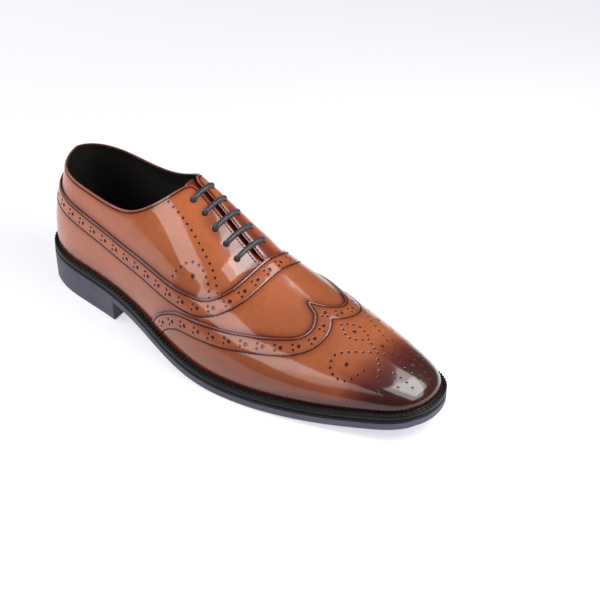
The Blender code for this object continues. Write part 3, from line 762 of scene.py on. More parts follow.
# Patterns on the unrolled upper
def side_opening(side):
    """The edge of the opening on one side, from the back seam to the throat.

    The facings meet off the crown.
    """
    u_throat = float(u_at(FACING[-1, 0]))
    u = np.concatenate([np.linspace(0, 0.3, 120), np.linspace(0.3015, u_throat, 240)])
    line = to_flat(u, opening_edge(u, side), side)
    corner = int(np.argmax(np.abs(line[:, 1]) < FACING_OFF_CROWN))
    away = lengths(line)[corner] - lengths(line)
    line[:, 1] += GAP_SHIFT * (1 - smoothstep(0, GAP_SHIFT_BLEND, away))
    length = lengths(line)
    start, end = (int(np.argmin(np.abs(length - length[corner] - way))) for way in (-CORNER_CUT, CORNER_CUT))
    return np.vstack([line[:start], bend(line[start], line[corner], line[end], 30), line[end + 1:]])


def both_sides(table, peak_shift=0.0):
    """A pattern edge from the outer side over the crown to the inner side, its peak off the crown."""
    outer, inner = pattern_edge(table, -1), pattern_edge(table, 1)
    outer[:, 1] += peak_shift * (1 - smoothstep(*PEAK_BLEND_OUTER, np.abs(outer[:, 1])))
    inner[:, 1] += peak_shift * (1 - smoothstep(*PEAK_BLEND_INNER, np.abs(inner[:, 1])))
    return np.vstack([outer[::-1], inner[1:]])


def feather(side, u_from, u_to, t=0.0):
    return to_flat(np.linspace(u_from, u_to, 300), t, side)


def from_real(x, t, side):
    return to_flat(u_at(x), t, side)[0]


def along_line(line, offsets):
    """Places at these distances along a line."""
    length = lengths(on_last(line, 0.0))
    return np.stack([np.interp(offsets, length, line[:, k]) for k in (0, 1)], -1)


def evenly(line, count):
    """This many places, evenly spaced from end to end of a line."""
    return along_line(line, np.linspace(0, lengths(on_last(line, 0.0))[-1], count))


def way_into(line, loop):
    """The side of a line that lies in the loop: 1 to the left of the way it runs, or -1."""
    return 1 if inside(beside(line, 1.0), loop).mean() > 0.5 else -1


def end_stations(line):
    """How far along the shoe a line's outer end and its inner end lie, by side."""
    return {-1: float(from_flat(line[:1])[0][0]), 1: float(from_flat(line[-1:])[0][0])}


def eyelets(*sides):
    """The holes for the lace on these sides."""
    return [Hole(flat_at_girth(x, GAP_SHIFT + side * reach), LACE_EYELET, 20)
            for x, reach in zip(EYELET_X, EYELET_OFF_GAP) for side in sides]


def broguing(edge, inward, anchor, pitch):
    """The punched band beside an edge: pairs of small holes, then a big one, which the anchor places."""
    depth = STITCH_FROM_EDGE + (BROGUE_BAND - STITCH_FROM_EDGE) / 2
    middle = beside(edge, inward * depth)
    length = lengths(on_last(middle, 0.0))
    nearest = length[np.argmin(np.linalg.norm(real(middle) - real(anchor[None]), axis=1))]
    groups = int(length[-1] / pitch)
    first = nearest % pitch
    holes = []
    for group in range(groups + 1):
        at = first + group * pitch
        if at > length[-1] - 2:
            continue
        holes.append((along_line(middle, [at])[0], BIG_HOLE))
        if at - BIG_AHEAD < 2:
            continue
        here, before, after = along_line(middle, [at - BIG_AHEAD, at - BIG_AHEAD - 1, at - BIG_AHEAD + 1])
        ahead = real(after[None]) - real(before[None])
        across = np.cross(normals(*from_flat(here[None])), ahead)
        across *= PAIR_APART / 2 / np.linalg.norm(across)
        for way in (-1, 1):
            holes.append((shifted(here[None], way * across)[0], SMALL_HOLE))
    return holes


def off_crown(places):
    """Unrolled places from x and the distance off the crown."""
    places = np.array(places, float)
    return np.stack([np.interp(u_at(places[:, 0]), U_FINE, RUN), places[:, 1]], -1)


def other_side(places):
    """Where the toe's ornament has these outer places on the inner side."""
    x, off = places[:, 0], places[:, 1]
    middle = np.interp(x, *np.transpose(TOE_MIDDLE))
    return np.stack([x - TOE_LEAN * (middle - off), 2 * middle - off], -1)


def toe_ornament():
    """The punched holes on the toe."""
    sides = (lambda places: places, other_side)
    lines = [(count, line, side) for count, line in TOE_SIDE_LINES for side in sides]
    lines += [(count, line, sides[0]) for count, line in TOE_LINES]
    places = []
    for count, line, side in lines:
        places += [(place, DOT_HOLE) for place in evenly(off_crown(side(through(line, 12))), count)]
    eyes = [TOE_SIDE_EYE, tuple(other_side(np.array([TOE_SIDE_EYE]))[0])] + list(TOE_EYES)
    return [(place, EYE_HOLE) for place in off_crown(eyes)] + places


def clear_of(places, outline, lines, margin):
    """The holes whose rims stay this far from the outline and the lines."""
    kept = []
    for centre, radius in places:
        point = np.array([centre])
        away = min(distance_to(point, np.vstack([line, line[-1:]]))[0] for line in [outline] + lines)
        if inside(point, outline)[0] and away > radius + margin:
            apart = radius + HOLES_APART
            if all(np.linalg.norm(centre - other.centre) > apart + other.radius for other in kept):
                kept.append(Hole(centre, radius))
    return kept


def lining_drop(flat, band, band_loop):
    """How far the inner layer stays under the surface: full under the overlays, none at the top line."""
    above = away_from(flat, band)
    share = smoothstep(RECESS_FADE_FROM, RECESS_FADE_TO, above)
    return np.where(inside(flat, band_loop), 1.0, 1 - share) * RECESS


def backings(name, groups, material):
    """The underlay that shows in the punched holes, dark with painted shade: a thin round piece in each."""
    count = BACKING_SIDES
    middle = count + 1
    points, polygons = [], []
    for holes, lift in groups:
        for hole in holes:
            flat = np.vstack([circle(hole.centre, hole.radius + BACKING_MARGIN, count), hole.centre[None]])
            top = np.array(lift(flat), float) - HOLE_DEPTH
            start = len(points) * middle
            points += [on_last(flat, top), on_last(flat, top - BACKING_THICKNESS)]
            for k in range(count):
                here, ahead = start + k, start + (k + 1) % count
                polygons.append((here, ahead, start + count))
                polygons.append((ahead + middle, here + middle, start + count + middle))
                polygons.append((ahead, here, here + middle, ahead + middle))
    points = np.vstack(points)
    # The underlay's dark tone is painted shade in the holes
    return add_mesh(name, points, polygons, material, np.full(len(points), BACKING_PAINTED_SHADE))


# Stitches
def capsule(sides):
    """A stitch: a short round bar with domed ends, one unit long and one unit thick."""
    long, wide, thick = np.eye(3)
    rings = [along * long + ring(radius, sides, wide, thick) for along, radius in STITCH_RINGS]
    points = np.vstack([-long / 2, *rings, long / 2])
    faces = [tuple(1 + k for k in face) for face in tube_faces(len(rings), sides, False)]
    last = len(points) - 1
    for k in range(sides):
        ahead = (k + 1) % sides
        faces += [(0, 1 + ahead, 1 + k), (last - sides + k, last - sides + ahead, last)]
    return points, faces


def stitches(name, places, material, sides=8):
    """Stitches in one mesh. Each place is a middle, and the length, width and thickness as vectors."""
    template, faces = capsule(sides)
    points = [middle + template @ np.array(reach) for middle, *reach in places]
    polygons = [tuple(k * len(template) + i for i in face) for k in range(len(places)) for face in faces]
    return add_mesh(name, np.vstack(points), polygons, material)


def stitch_rows(name, lines, lift, material):
    """Rows of stitches in one mesh. Each lies along its line, half sunk in the leather."""
    places = []
    for line in lines:
        total = lengths(on_last(line, 0.0))[-1]
        count = max(1, int(total / STITCH_PITCH))
        offsets = (np.arange(count) + 0.5) * total / count
        centres, before, after = (along_line(line, offsets + moved) for moved in (0, -0.3, 0.3))
        heights = lift(centres)
        way = unit(on_last(after, heights) - on_last(before, heights))
        out = tangents(centres)[2]
        width = 2 * STITCH_RADIUS
        places += zip(on_last(centres, heights), STITCH_LENGTH * way, width * np.cross(out, way), width * out)
    return stitches(name, places, material)


# The sole
def plan_edge(side, beyond, u):
    """The feather line in plan at the stations, moved outwards by this much."""
    def line(at):
        return np.stack([column(X, at), -column(OUTER, at) if side < 0 else column(INNER, at)], -1)

    run = line(np.minimum(u + 1e-3, 1)) - line(np.maximum(u - 1e-3, 0))
    out = unit(side * np.stack([-run[:, 1], run[:, 0]], -1))
    out[u < 1e-6] = (-1, 0)
    out[u > 1 - 1e-6] = (1, 0)
    return line(u) + out * beyond[:, None]


def welt_margin(u):
    """How far the sole stands out past the feather line."""
    share = smoothstep(MARGIN_GROWS_FROM, MARGIN_GROWS_TO, column(X, u))
    return WELT_MARGIN_BACK + (WELT_MARGIN_FORE - WELT_MARGIN_BACK) * share


def sole_loop(inset, u):
    """The outer and the inner edge of the sole at the stations, moved inwards."""
    return tuple(plan_edge(side, welt_margin(u) - inset, u) for side in (-1, 1))


def feather_loop(inset, u):
    """The outer and the inner feather line at the stations, moved inwards."""
    return tuple(plan_edge(side, np.full(len(u), -float(inset)), u) for side in (-1, 1))


def stations(count, u_to=1.0, eased=0.4):
    """Station parameters, closer together at the heel and the toe."""
    even = np.linspace(0, 1, count)
    return u_to * ((1 - eased) * even + eased * (0.5 - 0.5 * np.cos(np.pi * even)))


def sole_origin():
    """The middle of the sole's box, which the frame has as its origin."""
    both = np.vstack(sole_loop(0.0, stations(46, eased=0.25)))
    return np.array([*(both.min(axis=0) + both.max(axis=0)) / 2, 0.0])


def tube_faces(rings, count, closed):
    """Faces between rings of this many points, the last ring joined to the first if closed."""
    faces = []
    for ring in range(rings if closed else rings - 1):
        here, following = ring * count, (ring + 1) % rings * count
        for k in range(count):
            ahead = (k + 1) % count
            faces.append((here + k, here + ahead, following + ahead, following + k))
    return faces


def ring_round(edges, height, closing=0):
    """A ring along the outer and the inner edge of the sole, at a height over its underside."""
    outer, inner = edges
    loop = np.vstack([outer, inner[::-1][1:-1], outer[:closing]])
    return np.column_stack([loop, rise(u_at(loop[:, 0])) + height])


def layered_solid(name, levels, cross, material, hollow=0.0, tones=None):
    """A plate built up from levels: outer edge, inner edge, whether it follows the sole, and height."""
    share = np.linspace(0, 1, cross + 1)
    count = len(levels[0][0])
    grids = []
    for outer, inner, follows, height in levels:
        flat = outer[:, None] * (1 - share)[None, :, None] + inner[:, None] * share[None, :, None]
        bow = hollow * (1 - (2 * share - 1) ** 2)[None] * np.linspace(0, 1, count)[:, None] ** 4
        flat = flat - np.stack([bow, 0 * bow], -1)
        tall = follows * rise(u_at(flat[..., 0])) + height
        grids.append(np.concatenate([flat, tall[..., None]], -1).reshape(-1, 3))
    size = count * (cross + 1)
    index = np.arange(size).reshape(count, cross + 1)
    rim = list(index[:, 0]) + list(index[-1, 1:]) + list(index[:-1, -1][::-1]) + list(index[0, 1:-1][::-1])
    polygons = []
    for i in range(count - 1):
        for j in range(cross):
            quad = (index[i, j], index[i + 1, j], index[i + 1, j + 1], index[i, j + 1])
            polygons.append(tuple(reversed(quad)))
            polygons.append(tuple(k + size * (len(levels) - 1) for k in quad))
    for low in range(0, size * (len(levels) - 1), size):
        for a, b in zip(rim, rim[1:] + rim[:1]):
            polygons.append((a + low, b + low, b + low + size, a + low + size))
    tone = np.repeat(np.zeros(len(levels)) if tones is None else tones, size)
    return add_mesh(name, np.vstack(grids), polygons, material, tone)


# Materials
def connect(made, inputs):
    """Gives a node's inputs, by name or number, a value each, or links them to another node's output."""
    for key, value in inputs.items():
        if isinstance(value, bpy.types.NodeSocket):
            made.id_data.links.new(value, made.inputs[key])
        else:
            made.inputs[key].default_value = value
    return made


def new_material(name):
    """A material, its tree, its shader and the place on the object."""
    made = bpy.data.materials.new(name)
    made.use_nodes = True
    tree = made.node_tree
    return made, tree, tree.nodes["Principled BSDF"], node(tree, "ShaderNodeTexCoord").outputs["Object"]


def node(tree, kind, inputs=(), **settings):
    """A node with its settings and its inputs."""
    made = tree.nodes.new(kind)
    for key, value in settings.items():
        setattr(made, key, value)
    return connect(made, dict(inputs))


def ramp(tree, factor, *stops):
    """Colours or greys along a factor."""
    made = node(tree, "ShaderNodeValToRGB", {"Fac": factor})
    band = made.color_ramp
    while len(band.elements) < len(stops):
        band.elements.new(0.5)
    for element, (place, colour) in zip(band.elements, stops):
        element.position = place
        element.color = (*colour, 1) if isinstance(colour, tuple) else (colour, colour, colour, 1)
    return made.outputs["Color"]


def multiplied(tree, first, second, share=1.0):
    """One colour multiplied by another, wholly or in part."""
    inputs = {"Factor": share, 6: first, 7: second}
    return node(tree, "ShaderNodeMix", inputs, data_type="RGBA", blend_type="MULTIPLY").outputs[2]


def noise(tree, place, scale, detail, rough):
    inputs = {"Vector": place, "Scale": scale, "Detail": detail, "Roughness": rough}
    return node(tree, "ShaderNodeTexNoise", inputs).outputs["Fac"]


def cells(tree, place, scale, **settings):
    inputs = {"Vector": place, "Scale": scale}
    return node(tree, "ShaderNodeTexVoronoi", inputs, **settings).outputs["Distance"]


def bumps(tree, *layers):
    """Bumps one on another: height output, strength and depth in metres."""
    normal = None
    for height, strength, depth in layers:
        bump = node(tree, "ShaderNodeBump", {"Height": height, "Strength": strength, "Distance": depth})
        if normal:
            connect(bump, {"Normal": normal})
        normal = bump.outputs["Normal"]
    return normal


def tone_of(tree):
    """The tone that a mesh holds at its points."""
    return node(tree, "ShaderNodeAttribute", attribute_name="tone").outputs["Fac"]


def grained(tree, place, cloud):
    """The uneven surface of the dark materials: soft unevenness and a fine grain."""
    return bumps(tree, (cloud, 0.3, 0.0004), (noise(tree, place, 1400.0, 3.0, 0.6), 0.2, 0.0002))


def tan_leather():
    """Glazed tan calf: mottled colour, painted light that makes the back of the shoe lighter, a burnish and
    painted shade by the tone attribute, fine pores and a polished coat.
    """
    made, tree, shader, place = new_material("tan_calf")
    cloud = noise(tree, place, 22.0, 4.0, 0.55)
    fleck = noise(tree, place, 260.0, 3.0, 0.6)
    hide = ramp(tree, cloud, (0.30, (0.318, 0.081, 0.028)), (0.52, (0.370, 0.096, 0.034)),
                (0.74, (0.422, 0.114, 0.042)))
    # Painted light: by the object's x the colour is lighter towards the back of the shoe, standing in for
    # more light on the heel
    along = node(tree, "ShaderNodeSeparateXYZ", {0: place}).outputs["X"]
    share = node(tree, "ShaderNodeMapRange", {"Value": along, "From Min": -0.15, "From Max": 0.15})
    painted_rear_light = ramp(tree, share.outputs["Result"], (0.0, 1.0), (0.28, 0.96), (0.5, 0.80), (0.72, 0.53),
                (1.0, 0.50))
    freckles = ramp(tree, fleck, (0.35, (0.62, 0.5, 0.42)), (0.65, 1.0))
    flecked = multiplied(tree, multiplied(tree, hide, painted_rear_light), freckles, 0.18)
    # The tone darkens the colour: the toe's burnish and edge dye, and painted shade at rims, stitch grooves,
    # creases, holes, facings, the tongue and the holes' underlay
    burnish = ramp(tree, tone_of(tree), (0.0, 1.0), (0.35, (0.50, 0.35, 0.33)), (0.7, (0.25, 0.10, 0.10)),
                   (1.0, (0.11, 0.045, 0.045)))
    swell = noise(tree, place, 75.0, 2.0, 0.4)
    pores = noise(tree, place, 1500.0, 2.0, 0.5)
    skin = cells(tree, place, 900.0, feature="DISTANCE_TO_EDGE")
    connect(shader, {
        "Base Color": multiplied(tree, flecked, burnish),
        "Roughness": ramp(tree, fleck, (0.3, 0.36), (0.7, 0.46)),
        "Specular IOR Level": 0.1,
        "Coat Weight": 1.0,
        "Coat Roughness": 0.09,
        "Coat IOR": 1.5,
        "Normal": bumps(tree, (swell, 0.15, 0.0010), (skin, 0.12, 0.0004), (pores, 0.12, 0.0003)),
        "Coat Normal": bumps(tree, (swell, 0.05, 0.0010)),
    })
    return made


def plain_material(name, dark, light, roughness, scale):
    """A dark, slightly uneven material: welt or thread."""
    made, tree, shader, place = new_material(name)
    cloud = noise(tree, place, scale, 4.0, 0.6)
    connect(shader, {
        "Base Color": ramp(tree, cloud, (0.3, dark), (0.7, light)),
        "Roughness": roughness,
        "Specular IOR Level": 0.14,
        "Normal": grained(tree, place, cloud),
    })
    return made


def two_tone_material(name, near, far, roughness):
    """A material that goes from one colour to another by the tone attribute."""
    made, tree, shader, place = new_material(name)
    cloud = noise(tree, place, 90.0, 4.0, 0.6)
    base = ramp(tree, tone_of(tree), (0.35, near), (0.65, far))
    connect(shader, {
        "Base Color": multiplied(tree, base, ramp(tree, cloud, (0.3, 0.8), (0.7, 1.0))),
        "Roughness": roughness,
        "Specular IOR Level": 0.2,
        "Normal": grained(tree, place, cloud),
    })
    return made


def lace_material():
    """Dark slate waxed cord, with the fine slant of its braid."""
    made, tree, shader, place = new_material("waxed_cord")
    braid = cells(tree, place, 1500.0)
    connect(shader, {
        "Base Color": ramp(tree, braid, (0.0, (0.016, 0.017, 0.027)), (0.8, (0.007, 0.0075, 0.013))),
        "Roughness": 0.42,
        "Sheen Weight": 0.1,
        "Normal": bumps(tree, (braid, 0.5, 0.0003)),
    })
    return made


def floor_material():
    made, tree, shader, place = new_material("pale_floor")
    away = node(tree, "ShaderNodeVectorMath", {0: place}, operation="LENGTH").outputs["Value"]
    fade = {"Value": away, "From Min": 0.65, "From Max": 1.6, "To Min": 0.64, "To Max": 0.42}
    connect(shader, {
        "Base Color": (0.36, 0.36, 0.37, 1),
        "Roughness": 0.6,
        "Emission Color": (0.95, 0.955, 1.0, 1),
        "Emission Strength": node(tree, "ShaderNodeMapRange", fade).outputs["Result"],
    })
    return made


ORIGIN = sole_origin()


# Pieces
def leather_pieces(leather, lining, thread):
    """The upper: its panels, their lining and stitches, and the underlay in their punched holes."""
    band, wing = both_sides(BAND_EDGE), both_sides(WING_EDGE, WING_PEAK_SHIFT)
    opening = {side: side_opening(side) for side in (-1, 1)}
    wing_foot = end_stations(wing)
    fine_band, fine_wing = resample(band, EDGE_STEP), resample(wing, EDGE_STEP)
    behind = np.array([2.0, 0.0])
    past = -FEATHER_TUCK
    band_loop = np.vstack([
        band,
        band[-1:] - behind,
        to_flat(0.0, past, 1) - behind,
        feather(1, 0, 1, past),
        feather(-1, 1, 0, past),
        to_flat(0.0, past, -1) - behind,
        band[:1] - behind,
    ])
    wing_outline = np.vstack([
        fine_wing,
        resample(feather(1, wing_foot[1], 1), 1.6)[1:],
        resample(feather(-1, wing_foot[-1], 1), 1.6)[::-1][1:-1],
    ])
    flush, raised = everywhere(0.0), everywhere(WING_LIFT)

    def drop(flat):
        return -lining_drop(flat, band, band_loop)

    punched = []
    stitch_lines = {}

    # Quarters, one on each side
    quarters = []
    stitch_lines["quarter"] = []
    for side, word in ((-1, "outer"), (1, "inner")):
        edge = resample(opening[side], EDGE_STEP)
        whole = band[::-1] if side < 0 else band
        whole = whole[np.sign(whole[:, 1]) != -side]
        low = beside(whole, way_into(whole, band_loop) * UNDERLAP)
        low = low[side * (low[:, 1] - edge[-1, 1]) > 1.0]
        low = low[low[:, 0] > 0.3]
        seam_low = np.array([[0.0, low[-1, 1]]])
        seam = resample(np.vstack([seam_low, edge[:1]]), 2.0)[1:-1]
        outline = np.vstack([edge, resample(low, 1.5), seam_low, seam])
        places = []
        for count, line in QUARTER_LINES:
            places += [(place, DOT_HOLE) for place in evenly(drawn(line, side, 12), count)]
        places += [(from_real(x, t, side), EYE_HOLE) for x, t in QUARTER_EYES]
        dotted = clear_of(places, outline, [edge], DOT_FROM_EDGE)
        way = way_into(edge, outline)
        holes = eyelets(side) + dotted
        quarters.append(leather_panel(f"quarter_{word}", outline, holes, [(edge, way, QUARTER_RIM)], [],
                                      drop, PANEL_THICKNESS, leather, facing_painted_shade, [whole]))
        punched.append((dotted, drop))
        stitch_lines["quarter"].append(beside(edge, way * STITCH_FROM_EDGE))

    # Vamp with the lower quarters, and wing cap
    covered = beside(wing, way_into(wing, wing_outline) * UNDERLAP)
    covered = covered[from_flat(covered)[1] > 0.02]
    foot = end_stations(covered)
    seams = {side: resample(to_flat(0.0, np.array([0.48, 0.0]), side), 2.0) for side in (-1, 1)}
    vamp_outline = np.vstack([
        fine_band,
        seams[1][1:],
        resample(feather(1, 0, foot[1]), 2.0)[1:],
        resample(covered[::-1], 1.5),
        resample(feather(-1, 0, foot[-1]), 2.0)[::-1],
        seams[-1][::-1][1:-1],
    ])

    def overlay(name, key, edge, outline, anchor, pitch, more_holes, covering, lift):
        """A burnished panel with a punched band along its edge and a row of stitches on either side of it."""
        way = way_into(edge, outline)
        second = beside(edge, way * BROGUE_BAND)
        places = broguing(edge, way, from_real(*anchor), pitch) + more_holes
        holes = clear_of(places, outline, covering, HOLE_FROM_SEAM)
        punched.append((holes, lift))
        stitch_lines[key] = [beside(edge, way * STITCH_FROM_EDGE), second]
        return leather_panel(name, outline, holes, [(edge, way, OVERLAY_RIM)], [second], lift,
                             PANEL_THICKNESS, leather, toe_burnish, covering)

    vamp = overlay("vamp_and_lower_quarters_leather", "band", fine_band, vamp_outline, BAND_ANCHOR,
                   BAND_PITCH, [], [wing], flush)
    wing_cap = overlay("wing_cap_leather", "wing", fine_wing, wing_outline, WING_ANCHOR, WING_PITCH,
                       toe_ornament(), [], raised)

    # Lining
    edges = {}
    for side in (-1, 1):
        line = resample(opening[side], 2.0)
        outward = LINING_BACK * smoothstep(*LINING_BACK_ALONG, column(X, from_flat(line)[0]))
        edges[side] = line + np.array([0.0, side]) * outward[:, None]
    right, left = edges[1][-1], edges[-1][-1]
    share = np.linspace(0, 1, 5)[1:-1, None]
    throat = right + (left - right) * share + np.array([5.0, 0.0])
    top = {side: float(opening_edge(np.array([0.0]), side)[0]) for side in (-1, 1)}
    outline = np.vstack([
        resample(feather(-1, 0, 1), 2.5),
        resample(feather(1, 0, 1), 2.5)[::-1][1:],
        to_flat(0.0, np.linspace(0, top[1], 30), 1)[1:-1],
        edges[1],
        throat,
        edges[-1][::-1],
        to_flat(0.0, np.linspace(0, top[-1], 30), -1)[::-1][1:-1],
    ])
    taken = PANEL_THICKNESS + LINING_GAP
    inner = leather_panel("lining", outline, eyelets(-1, 1), [], [], lambda flat: drop(flat) - taken,
                          WALL - taken, lining, everywhere(0.0))

    sunk = STITCH_STANDS - GROOVE_DEPTH
    lifts = {
        "band": everywhere(sunk),
        "wing": everywhere(WING_LIFT + sunk),
        "quarter": lambda flat: drop(flat) + sunk,
    }
    threads = [stitch_rows(f"stitches_{key}", stitch_lines[key], lift, thread) for key, lift in lifts.items()]
    return quarters, vamp, wing_cap, inner, threads, backings("punched_backing", punched, leather)


def tongue_piece(leather):
    """The tongue, which lies under the lining and rises a little into the gap of the facings."""
    x = np.linspace(TONGUE_SHAPE[0, 0], TONGUE_SHAPE[-1, 0], 60)
    reach = np.interp(x, TONGUE_SHAPE[:, 0], TONGUE_SHAPE[:, 1])
    edges = {side: resample(np.array([flat_at_girth(a, side * b) for a, b in zip(x, reach)]), 1.5)
             for side in (-1, 1)}
    top = resample(np.vstack([edges[1][:1], edges[-1][:1]]), 1.5)
    outline = np.vstack([edges[-1], edges[1][::-1], top[1:-1]])

    def under(flat):
        along = column(X, from_flat(flat)[0])
        share = smoothstep(TONGUE_RISES_FROM, TONGUE_RISES_TO, along)
        off = np.abs(flat[:, 1] - GAP_SHIFT)
        middle = TONGUE_RIDGE * (1 - smoothstep(RIDGE_FROM, RIDGE_TO, off)) * (1 - share)
        return -WALL - TONGUE_DROP - (TONGUE_DROP_THROAT + RECESS - TONGUE_DROP) * share + middle

    edge = np.vstack([edges[-1][::-1], top[::-1][1:-1], edges[1]])
    rims = [(edge, way_into(edge, outline), TONGUE_RIM)]
    # The whole tongue is darkened: painted shade for the shade it lies in under the facings
    return leather_panel("tongue_leather", outline, [], rims, [], under, TONGUE_WALL, leather,
                         everywhere(TONGUE_PAINTED_SHADE))


def lace_point(x, off_centre, offset):
    u, t, side = from_flat(flat_at_girth(x, off_centre)[None])
    return surface(u, t, side)[0] + offset * normals(u, t, side)[0]


# One lace bar: share of the way out to the eyelet, and height over the last as a share of the full height
LACE_BAR = (
    (-1.02, -1.10), (-1.00, -0.45), (-0.975, 0.20), (-0.90, 0.75), (-0.76, 0.98), (-0.40, 1.02),
    (0.00, 0.92),
    (0.40, 1.02), (0.76, 0.98), (0.90, 0.75), (0.975, 0.20), (1.00, -0.45), (1.02, -1.10),
)
LACE_LINK = ((1.2, 0.5), (3.0, 0.0))


def lace_piece(material):
    """The lace as one round cord through the eyelets, five bars and the links under the facings."""
    over = LACE_RADIUS + LACE_STANDS
    under = -(WALL + GAP + LACE_RADIUS)
    from_toe = EYELET_X[::-1]
    ends = [(1 if row % 2 == 0 else -1) * reach for row, reach in enumerate(EYELET_OFF_GAP[::-1])]
    points = []
    for row, (x, reach) in enumerate(zip(from_toe, ends)):
        points += [(x, GAP_SHIFT + reach * share, over * height) for share, height in LACE_BAR]
        if row < len(from_toe) - 1:
            following = from_toe[row + 1]
            reached, wanted = GAP_SHIFT + reach, GAP_SHIFT - ends[row + 1]
            points += [(x - along, reached, under + height) for along, height in LACE_LINK]
            points += [(following + along, wanted, under + height) for along, height in LACE_LINK[::-1]]
    path = resample(through([lace_point(*p) for p in points], 8), 0.8)
    ahead = unit(np.gradient(path, axis=0))
    rings = []
    first = np.cross(ahead[0], (0, 0, 1.0))
    for place, way in zip(path, ahead):
        first = unit(first - way * (first @ way))
        rings.append(place + ring(LACE_RADIUS, LACE_SIDES, first, np.cross(way, first)))
    faces = tube_faces(len(rings), LACE_SIDES, False)
    faces.append(tuple(range(LACE_SIDES))[::-1])
    faces.append(tuple(range((len(rings) - 1) * LACE_SIDES, len(rings) * LACE_SIDES)))
    return add_mesh("lace_cord", np.vstack(rings), faces, material)


def arc_profile(points, radius):
    """A profile of inset and height with its inner corners rounded."""
    points = [np.array(p, float) for p in points]
    rounded = [points[0]]
    for before, here, after in zip(points, points[1:], points[2:]):
        back, on = before - here, after - here
        reach = min(radius, 0.45 * np.linalg.norm(back), 0.45 * np.linalg.norm(on))
        rounded += list(bend(here + unit(back) * reach, here, here + unit(on) * reach, 3))
    return rounded + [points[-1]]


def sole_pieces(sole, edge_black, lining, thread):
    """Outsole, heel block, welt with its stitching, and insole."""
    u = stations(220)
    top = OUTSOLE_THICKNESS - GAP
    corners = ((3.0, 0.0), (0.9, 0.0), (0.0, 0.9), (0.0, 5.15), (0.0, 5.3), (0.0, top - 0.4),
               (0.4, top), (1.2, top))
    profile = arc_profile(corners, SOLE_CORNER)
    black_from = [float(b > BLACK_FROM) for _, b in profile]
    outsole = layered_solid("outsole_edge", [sole_loop(a, u) + (1, b) for a, b in profile], 10, sole,
                            tones=black_from)

    heel_u = stations(120, float(u_at(HEEL_LENGTH)))
    heel_corners = ((4.0, 0, 0.0), (0.9, 0, 0.0), (0.25, 0, 0.25), (0.0, 0, 0.9), (-0.5, 1, -2.0),
                    (-0.69, 1, 0.3), (-0.69, 1, 0.95))
    heel_levels = [sole_loop(HEEL_INSET + a, heel_u) + (f, b) for a, f, b in heel_corners]
    heel = layered_solid("heel_stack", heel_levels, 16, sole, HEEL_BREAST_HOLLOW)

    low, high = OUTSOLE_THICKNESS, FEATHER_HEIGHT - GAP
    section = ((0.5, low), (0.0, low + 0.6), (0.0, high - 1.0), (0.25, high - 0.35), (0.8, high))
    rings = [ring_round(sole_loop(inset, u), height) for inset, height in section]
    rings += [ring_round(feather_loop(WELT_INNER, u), height) for height in (high, low)]
    welt = add_mesh("welt_strip", np.vstack(rings), tube_faces(len(rings), len(rings[0]), True), edge_black)

    tread = FEATHER_HEIGHT + INSOLE_THICKNESS
    insole_corners = ((0.0, FEATHER_HEIGHT), (0.0, tread - 0.4), (0.5, tread))
    insole_levels = [feather_loop(INSOLE_INSET + a, u) + (1, b) for a, b in insole_corners]
    insole = layered_solid("insole_sock", insole_levels, 10, lining)
    return outsole, heel, welt, insole, welt_ribs(thread)


def welt_ribs(material):
    """The stitches across the welt's top edge all the way round."""
    u = stations(900)
    height = FEATHER_HEIGHT - GAP
    outside, within = (ring_round(sole_loop(inset, u), height, 1) for inset in (RIB_FROM, RIB_TO))
    count = int(lengths(outside)[-1] / RIB_PITCH)
    starts, ends = (
        np.stack([np.interp(np.arange(count) * lengths(line)[-1] / count, lengths(line), line[:, k])
                  for k in range(3)], -1)
        for line in (outside, within)
    )
    places = []
    for start, end in zip(starts, ends):
        way = unit(end - start)
        size = np.linalg.norm(end - start) + RIB_OVERHANG
        flank = unit(np.cross((0, 0, 1.0), way))
        up = np.cross(way, flank)
        places.append(((start + end) / 2, size * way, RIB_WIDTH * flank, RIB_THICKNESS * up))
    return stitches("welt_stitches", places, material, 10)


# Light, floor and camera
def area_light(name, place, facing, size, radiance):
    """A soft box at a place, facing a way, of a width and height in metres, as bright as its radiance."""
    data = bpy.data.lights.new(name, "AREA")
    data.shape = "RECTANGLE"
    data.size, data.size_y = size
    data.energy = radiance * math.pi * size[0] * size[1]
    lamp = add_object(name, data)
    lamp.location = place
    lamp.rotation_euler = (-Vector(facing)).to_track_quat("Z", "Y").to_euler()


def set_light():
    area_light("toe_side_box", (0.274, 0.144, 0.345), (-0.096, -0.029, -1.0), (0.32, 0.35), 5.2)
    area_light("toe_side_wide", (0.435, 0.060, 0.33), (-0.10, 0.0, -1.0), (0.40, 0.60), 4.6)
    area_light("front_box", (-0.38, -1.06, 0.86), (0.25, 0.80, -0.62), (1.05, 0.72), 1.9)
    area_light("front_rim", (-0.31, -1.06, 0.87), (0.25, 0.80, -0.62), (1.20, 0.74), 2.0)
    area_light("rear_fill", (-1.05, -0.35, 0.95), (0.70, 0.22, -0.62), (0.8, 0.8), 6.0)
    world = bpy.data.worlds.new("studio")
    world.use_nodes = True
    connect(world.node_tree.nodes["Background"], {"Color": (0.93, 0.95, 1.0, 1), "Strength": 0.12})
    bpy.context.scene.world = world


def set_floor():
    half = 3.0
    corners = [(-half, -half, 0), (half, -half, 0), (half, half, 0), (-half, half, 0)]
    mesh = bpy.data.meshes.new("floor")
    mesh.from_pydata(corners, [], [(0, 1, 2, 3)])
    mesh.materials.append(floor_material())
    add_object("floor", mesh)


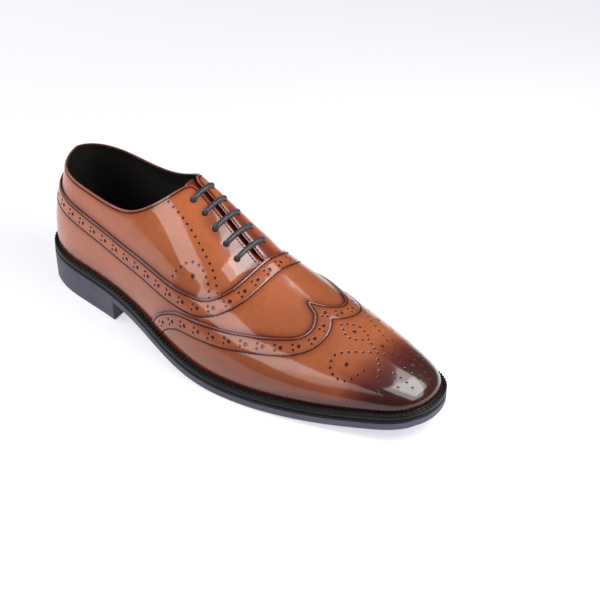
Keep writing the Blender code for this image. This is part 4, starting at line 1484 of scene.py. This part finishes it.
def set_camera():
    azimuth, elevation, roll = (math.radians(a) for a in (AZIMUTH, ELEVATION, ROLL))
    back = Vector((math.sin(azimuth) * math.cos(elevation), -math.cos(azimuth) * math.cos(elevation),
                   math.sin(elevation)))
    right = Vector((math.cos(azimuth), math.sin(azimuth), 0))
    up = back.cross(right)
    rolled_right = right * math.cos(roll) + up * math.sin(roll)
    rolled_up = up * math.cos(roll) - right * math.sin(roll)
    data = bpy.data.cameras.new("camera")
    data.sensor_width = SENSOR
    data.lens = LENS
    data.shift_x, data.shift_y = SHIFT
    data.clip_start = 0.01
    camera = add_object("camera", data)
    turn = Matrix((rolled_right, rolled_up, back)).transposed().to_4x4()
    camera.matrix_world = Matrix.Translation(TARGET + back * DISTANCE) @ turn
    bpy.context.scene.camera = camera


def dress(piece, slot, *nodes):
    """Fixes a piece to the shoe's one body, and hides the solids that it stands for. slot is not used."""
    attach(piece, "root")
    if nodes:
        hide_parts(*nodes)


def main():
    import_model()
    set_camera()
    set_floor()
    set_light()
    bpy.context.scene.view_settings.view_transform = "Standard"

    leather = tan_leather()
    lining = two_tone_material("black_lining", (0.075, 0.042, 0.034), (0.014, 0.011, 0.011), 0.55)
    sole = two_tone_material("sole_edge_slate", (0.088, 0.078, 0.112), (0.004, 0.003, 0.005), 0.6)
    edge_black = plain_material("welt_black", (0.003, 0.0025, 0.0035), (0.008, 0.007, 0.009), 0.38, 300.0)
    thread = plain_material("dark_thread", (0.003, 0.002, 0.002), (0.008, 0.005, 0.005), 0.6, 600.0)

    quarters, vamp, wing_cap, inner, threads, backing = leather_pieces(leather, lining, thread)
    for quarter in quarters:
        dress(quarter, "leather", "upper")
    dress(vamp, "leather", "vamp_and_lower_quarters")
    dress(wing_cap, "leather", "wing_cap")
    dress(inner, "lining", "upper")
    for row in threads:
        dress(row, "cord")
    dress(backing, "leather")
    dress(tongue_piece(leather), "leather", "tongue")
    dress(lace_piece(lace_material()), "cord", "lace")
    outsole, heel, welt, insole, ribs = sole_pieces(sole, edge_black, lining, thread)
    dress(outsole, "sole", "outsole")
    dress(heel, "sole", "heel_block")
    dress(welt, "welt", "welt")
    dress(ribs, "welt")
    dress(insole, "lining", "insole")


main()
